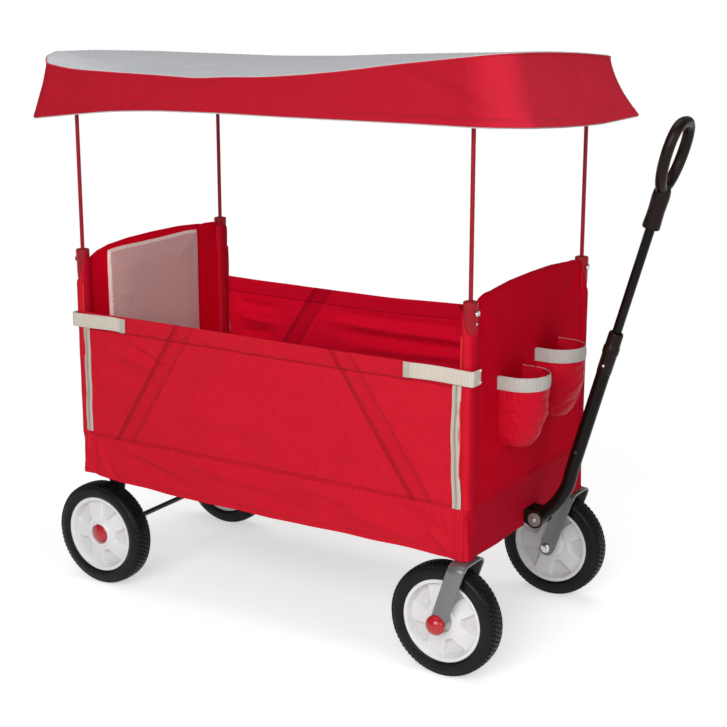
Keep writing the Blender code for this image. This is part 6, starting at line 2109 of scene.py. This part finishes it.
PIN = (0.4402, 0.2308)
HANDLE_FOOT = (0.5, 0.3287)
SLOPE = 0.285
AXIS = Vector((SLOPE, 0, 1)).normalized()
COLLAR_Z, NECK_Z, GRIP_TOP = 0.548, 0.755, 0.945


def on_handle(z):
    """The point on the handle's straight line at a height."""
    return Vector((HANDLE_FOOT[0] + SLOPE * (z - HANDLE_FOOT[1]), 0.0, z))


def along_axis(profile, steps, place):
    """Turn a profile about the handle's slope from a point on it."""
    turn = Vector((0, 0, 1)).rotation_difference(AXIS).to_matrix().to_4x4()
    return lathe(profile, steps).turned(Matrix.Translation(place) @ turn)


class WAGON_OT_handle(bpy.types.Operator):
    """The handle: bracket, bolt, bent lower tube, collar, telescoping tube, lock button and looped grip"""
    bl_idname = "wagon.handle"
    bl_label = "Handle"

    def execute(self, context):
        back = [(-0.019, 0.223), (0.019, 0.223), (0.0195, 0.2235), (0.0195, 0.2462), (0.0182, 0.2478),
                (-0.0182, 0.2478), (-0.0195, 0.2462), (-0.0195, 0.2235)]
        parts = [bevelled_plate(back, 0.0016, 0.0004, "YZ", 0.4196)]
        ear = arc(PIN, 0.016, -100, 100, 40) + [(0.4195, 0.247), (0.4195, 0.2232)]
        for side in (-1, 1):
            parts.append(bevelled_plate(ear, 0.004, 0.001, "XZ", side * 0.019))
        piece("handle_ears", joined(parts), "handle moulding", "front_frame",
              ("handle_bracket",), angle=40)
        rings, faces = [], []
        for side in (-1, 1):
            place = (PIN[0], side * 0.021, PIN[1])
            rings.append(lathe([(0.0128, -0.0006), (0.0132, 0.0012), (0.014, 0.0016), (0.0148, 0.0016),
                                (0.0155, 0.001), (0.0156, -0.0006)], 56, "Y", place, side > 0))
            faces.append(lathe([(0.0, 0.0012), (0.0052, 0.0012), (0.006, 0.0007), (0.0112, 0.0007), (0.0122, 0.0003),
                                (0.0129, -0.0006), (0.0, -0.0006)], 48, "Y", place, side > 0))
        piece("handle_boss_rings", joined(rings), "handle moulding", "front_frame", angle=50)
        piece("handle_boss_faces", joined(faces), "grey moulding", "front_frame", angle=40)
        end = [(0.0, 0.0226), (0.001, 0.0226), (0.0013, 0.0234), (0.0024, 0.0235), (0.0032, 0.023),
               (0.0036, 0.0222), (0.0037, 0.021)]
        bolt = end + [(r, -h) for r, h in reversed(end)]
        piece("handle_bolt", lathe(bolt, 40, "Y", (PIN[0], 0, PIN[1])), "bright steel", "front_frame",
              ("handle_pivot_bolt",), angle=40)

        path = smooth_path([(PIN[0] + 0.004, 0, PIN[1] + 0.003), (0.4715, 0, 0.262), (0.4915, 0, 0.2955),
                            tuple(on_handle(0.3287)), tuple(on_handle(0.36))], 12)
        path += [tuple(on_handle(z)) for z in np.linspace(0.36, COLLAR_Z, 40)[1:]]
        lower = [tube(path, 0.012, 28, up=(0, 1, 0)),
                 lathe([(0.0054, 0.0164), (0.013, 0.0164), (0.0141, 0.016), (0.0145, 0.015), (0.0145, -0.015),
                        (0.0141, -0.016), (0.013, -0.0164), (0.0054, -0.0164)], 48, "Y", (PIN[0], 0, PIN[1]))]
        piece("handle_lower_bent_tube", joined(lower), "handle paint", "handle",
              ("handle_lower_tube",), angle=45)
        # A dark shallow disc stands for the shade inside the tube's small hole: painted shade.
        hole = lathe([(0.0, 0.0001), (0.0024, 0.0002), (0.0027, 0.0001), (0.0028, -0.0008), (0.0, -0.0008)], 24,
                     "Y", tuple(on_handle(0.364) - Vector((0, 0.01192, 0))))
        piece("handle_tube_plug", hole, "black steel", "handle", angle=50)

        top = on_handle(COLLAR_Z)
        collar = [(0.0086, 0.0343), (0.0104, 0.0345), (0.0114, 0.0341), (0.0121, 0.033), (0.0126, 0.0306),
                  (0.0128, 0.01), (0.0135, 0.0088), (0.014, 0.0074), (0.014, -0.003), (0.0136, -0.0044),
                  (0.0129, -0.0052), (0.0128, -0.0386), (0.0124, -0.0396), (0.0118, -0.04), (0.0118, 0.0),
                  (0.0086, 0.0)]
        piece("handle_collar_moulding", along_axis(collar, 56, top), "handle moulding", "handle",
              ("handle_collar",), angle=40)
        press = top - AXIS * 0.0245
        knob = lathe([(0.0, 0.015), (0.0018, 0.015), (0.0023, 0.0147), (0.0026, 0.014), (0.0026, 0.0108),
                      (0.0, 0.0108)], 28, "Y", tuple(press))
        piece("handle_lock_knob", knob, "bright steel", "handle_button",
              ("handle_lock_button",), angle=45)
        foot, tip = top - AXIS * 0.035, on_handle(NECK_Z) + AXIS * 0.012
        length = (tip - foot).length
        inner = [(0.0, 0.0), (0.0074, 0.0), (0.008, 0.0006), (0.008, length), (0.0, length)]
        piece("handle_upper_bar", along_axis(inner, 32, foot), "handle paint", "handle_inner",
              ("handle_upper_tube",), angle=45)
        place_piece("handle_loop_grip", grip_mesh(), "handle moulding", "handle_inner",
                    ("handle_grip",))
        return {"FINISHED"}


def grip_mesh():
    """The loop, the neck and the shoulder, melted into one moulding."""
    base = on_handle(NECK_Z) + AXIS * 0.0108
    length = (on_handle(GRIP_TOP) - base).length
    neck_end, loop_r = 0.054, 0.0098
    points = []
    for t in turns_round(96):
        s, c = math.sin(t), math.cos(t)
        share = (c + 1) / 2
        width = 0.043 * (0.74 + 0.26 * share)
        up = neck_end + 0.01 + (length - neck_end - 0.01 - loop_r) * share
        y = math.copysign(abs(s) ** (0.7 + 0.35 * (1 - share)), s) * width
        points.append(tuple(base + AXIS * up + Vector((0, y, 0))))
    even = lengths(np.array(points + points[:1]))
    marks = np.linspace(0, even[-1], 121)[:-1]
    ring = np.stack([np.interp(marks, even, np.array(points + points[:1])[:, k]) for k in range(3)], 1)
    for _ in range(6):
        ring = (np.roll(ring, 1, 0) + 2 * ring + np.roll(ring, -1, 0)) / 4
    across = tuple(AXIS.cross(Vector((0, 1, 0))))
    loop = tube(ring, loop_r - 0.0003, 24, up=across, closed=True)
    neck = along_axis([(0.0, -0.004), (0.0142, -0.004), (0.015, -0.0032), (0.0148, 0.006), (0.0143, 0.014),
                       (0.014, 0.028), (0.0144, 0.038), (0.0148, 0.048), (0.0146, 0.056), (0.0136, 0.063),
                       (0.0116, 0.068), (0.008, 0.072), (0.0, 0.074)], 40, base)
    obj = linked("grip_work", mesh_from("handle_loop_grip", loop + neck))
    melt = obj.modifiers.new("melt", "REMESH")
    melt.mode = "VOXEL"
    melt.voxel_size = 0.00125
    melt.use_smooth_shade = True
    soften = obj.modifiers.new("soften", "SMOOTH")
    soften.factor = 0.5
    soften.iterations = 6
    made = made_plain(obj)
    made.name = "handle_loop_grip"
    made.shade_smooth()
    return made


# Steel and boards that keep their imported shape

# Where the rear posts end, inside the end skirt
POST_FOOT_Z = 0.2325
CARRIED = {
    "black steel": ("front_end_frame", "base_rear_frame", "base_front_frame"),
    "bright steel": ("rear_hinge_rod", "centre_hinge_rod", "front_hinge_rod"),
    "board cloth": ("floor_board_rear", "floor_board_front"),
}


class WAGON_OT_frame_finishes(bpy.types.Operator):
    """Paint, steel and cloth on the frames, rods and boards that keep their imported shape"""
    bl_idname = "wagon.frame_finishes"
    bl_label = "Frame finishes"

    def execute(self, context):
        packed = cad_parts["rear_end_frame"]
        mesh = packed.data.copy()
        mesh.transform(packed.matrix_world)
        for vertex in mesh.vertices:
            place = vertex.co
            if abs(place.x + POST_X - SHIFT) < 0.014 and abs(place.y) > 0.19 and place.z < POST_FOOT_Z:
                place.z = POST_FOOT_Z
        shaded(mesh, 35)
        place_piece("rear_frame_steel", mesh, "black steel", "root", ("rear_end_frame",))
        for name, nodes in CARRIED.items():
            for node in nodes:
                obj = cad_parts[node]
                obj.data.materials.clear()
                obj.data.materials.append(finish(name))
                shaded(obj.data, 35)
        return {"FINISHED"}


# Panel and entry point

OPERATORS = (
    WAGON_OT_stage, WAGON_OT_frame_finishes, WAGON_OT_wheels, WAGON_OT_casters, WAGON_OT_rear_axle_ends,
    WAGON_OT_long_sides, WAGON_OT_skirts, WAGON_OT_end_walls, WAGON_OT_pads, WAGON_OT_seams, WAGON_OT_zips,
    WAGON_OT_straps, WAGON_OT_pouches, WAGON_OT_sockets, WAGON_OT_bows, WAGON_OT_canopy, WAGON_OT_handle,
)
SETTINGS = (
    ("wagon_colours", WagonColours), ("wagon_cloth", WagonCloth), ("wagon_wheels", WagonWheels),
    ("wagon_canopy", WagonCanopy), ("wagon_stage", WagonStage),
)


class WAGON_PT_panel(bpy.types.Panel):
    """Settings and steps of the wagon"""
    bl_label = "Wagon"
    bl_idname = "WAGON_PT_panel"
    bl_space_type = "VIEW_3D"
    bl_region_type = "UI"
    bl_category = "Wagon"

    def draw(self, context):
        layout = self.layout
        for name, group in SETTINGS:
            box = layout.box()
            box.label(text=name.replace("wagon_", "").capitalize())
            for setting in group.__annotations__:
                box.prop(getattr(context.scene, name), setting)
        for operator in OPERATORS:
            layout.operator(operator.bl_idname)


def register():
    for name, group in SETTINGS:
        bpy.utils.register_class(group)
        setattr(bpy.types.Scene, name, bpy.props.PointerProperty(type=group))
    for item in (*OPERATORS, WAGON_PT_panel):
        bpy.utils.register_class(item)


def unregister():
    for item in reversed((*OPERATORS, WAGON_PT_panel)):
        bpy.utils.unregister_class(item)
    for name, group in reversed(SETTINGS):
        delattr(bpy.types.Scene, name)
        bpy.utils.unregister_class(group)


def main():
    register()
    for operator in OPERATORS:
        group, name = operator.bl_idname.split(".")
        getattr(getattr(bpy.ops, group), name)()


if __name__ == "__main__":
    main()
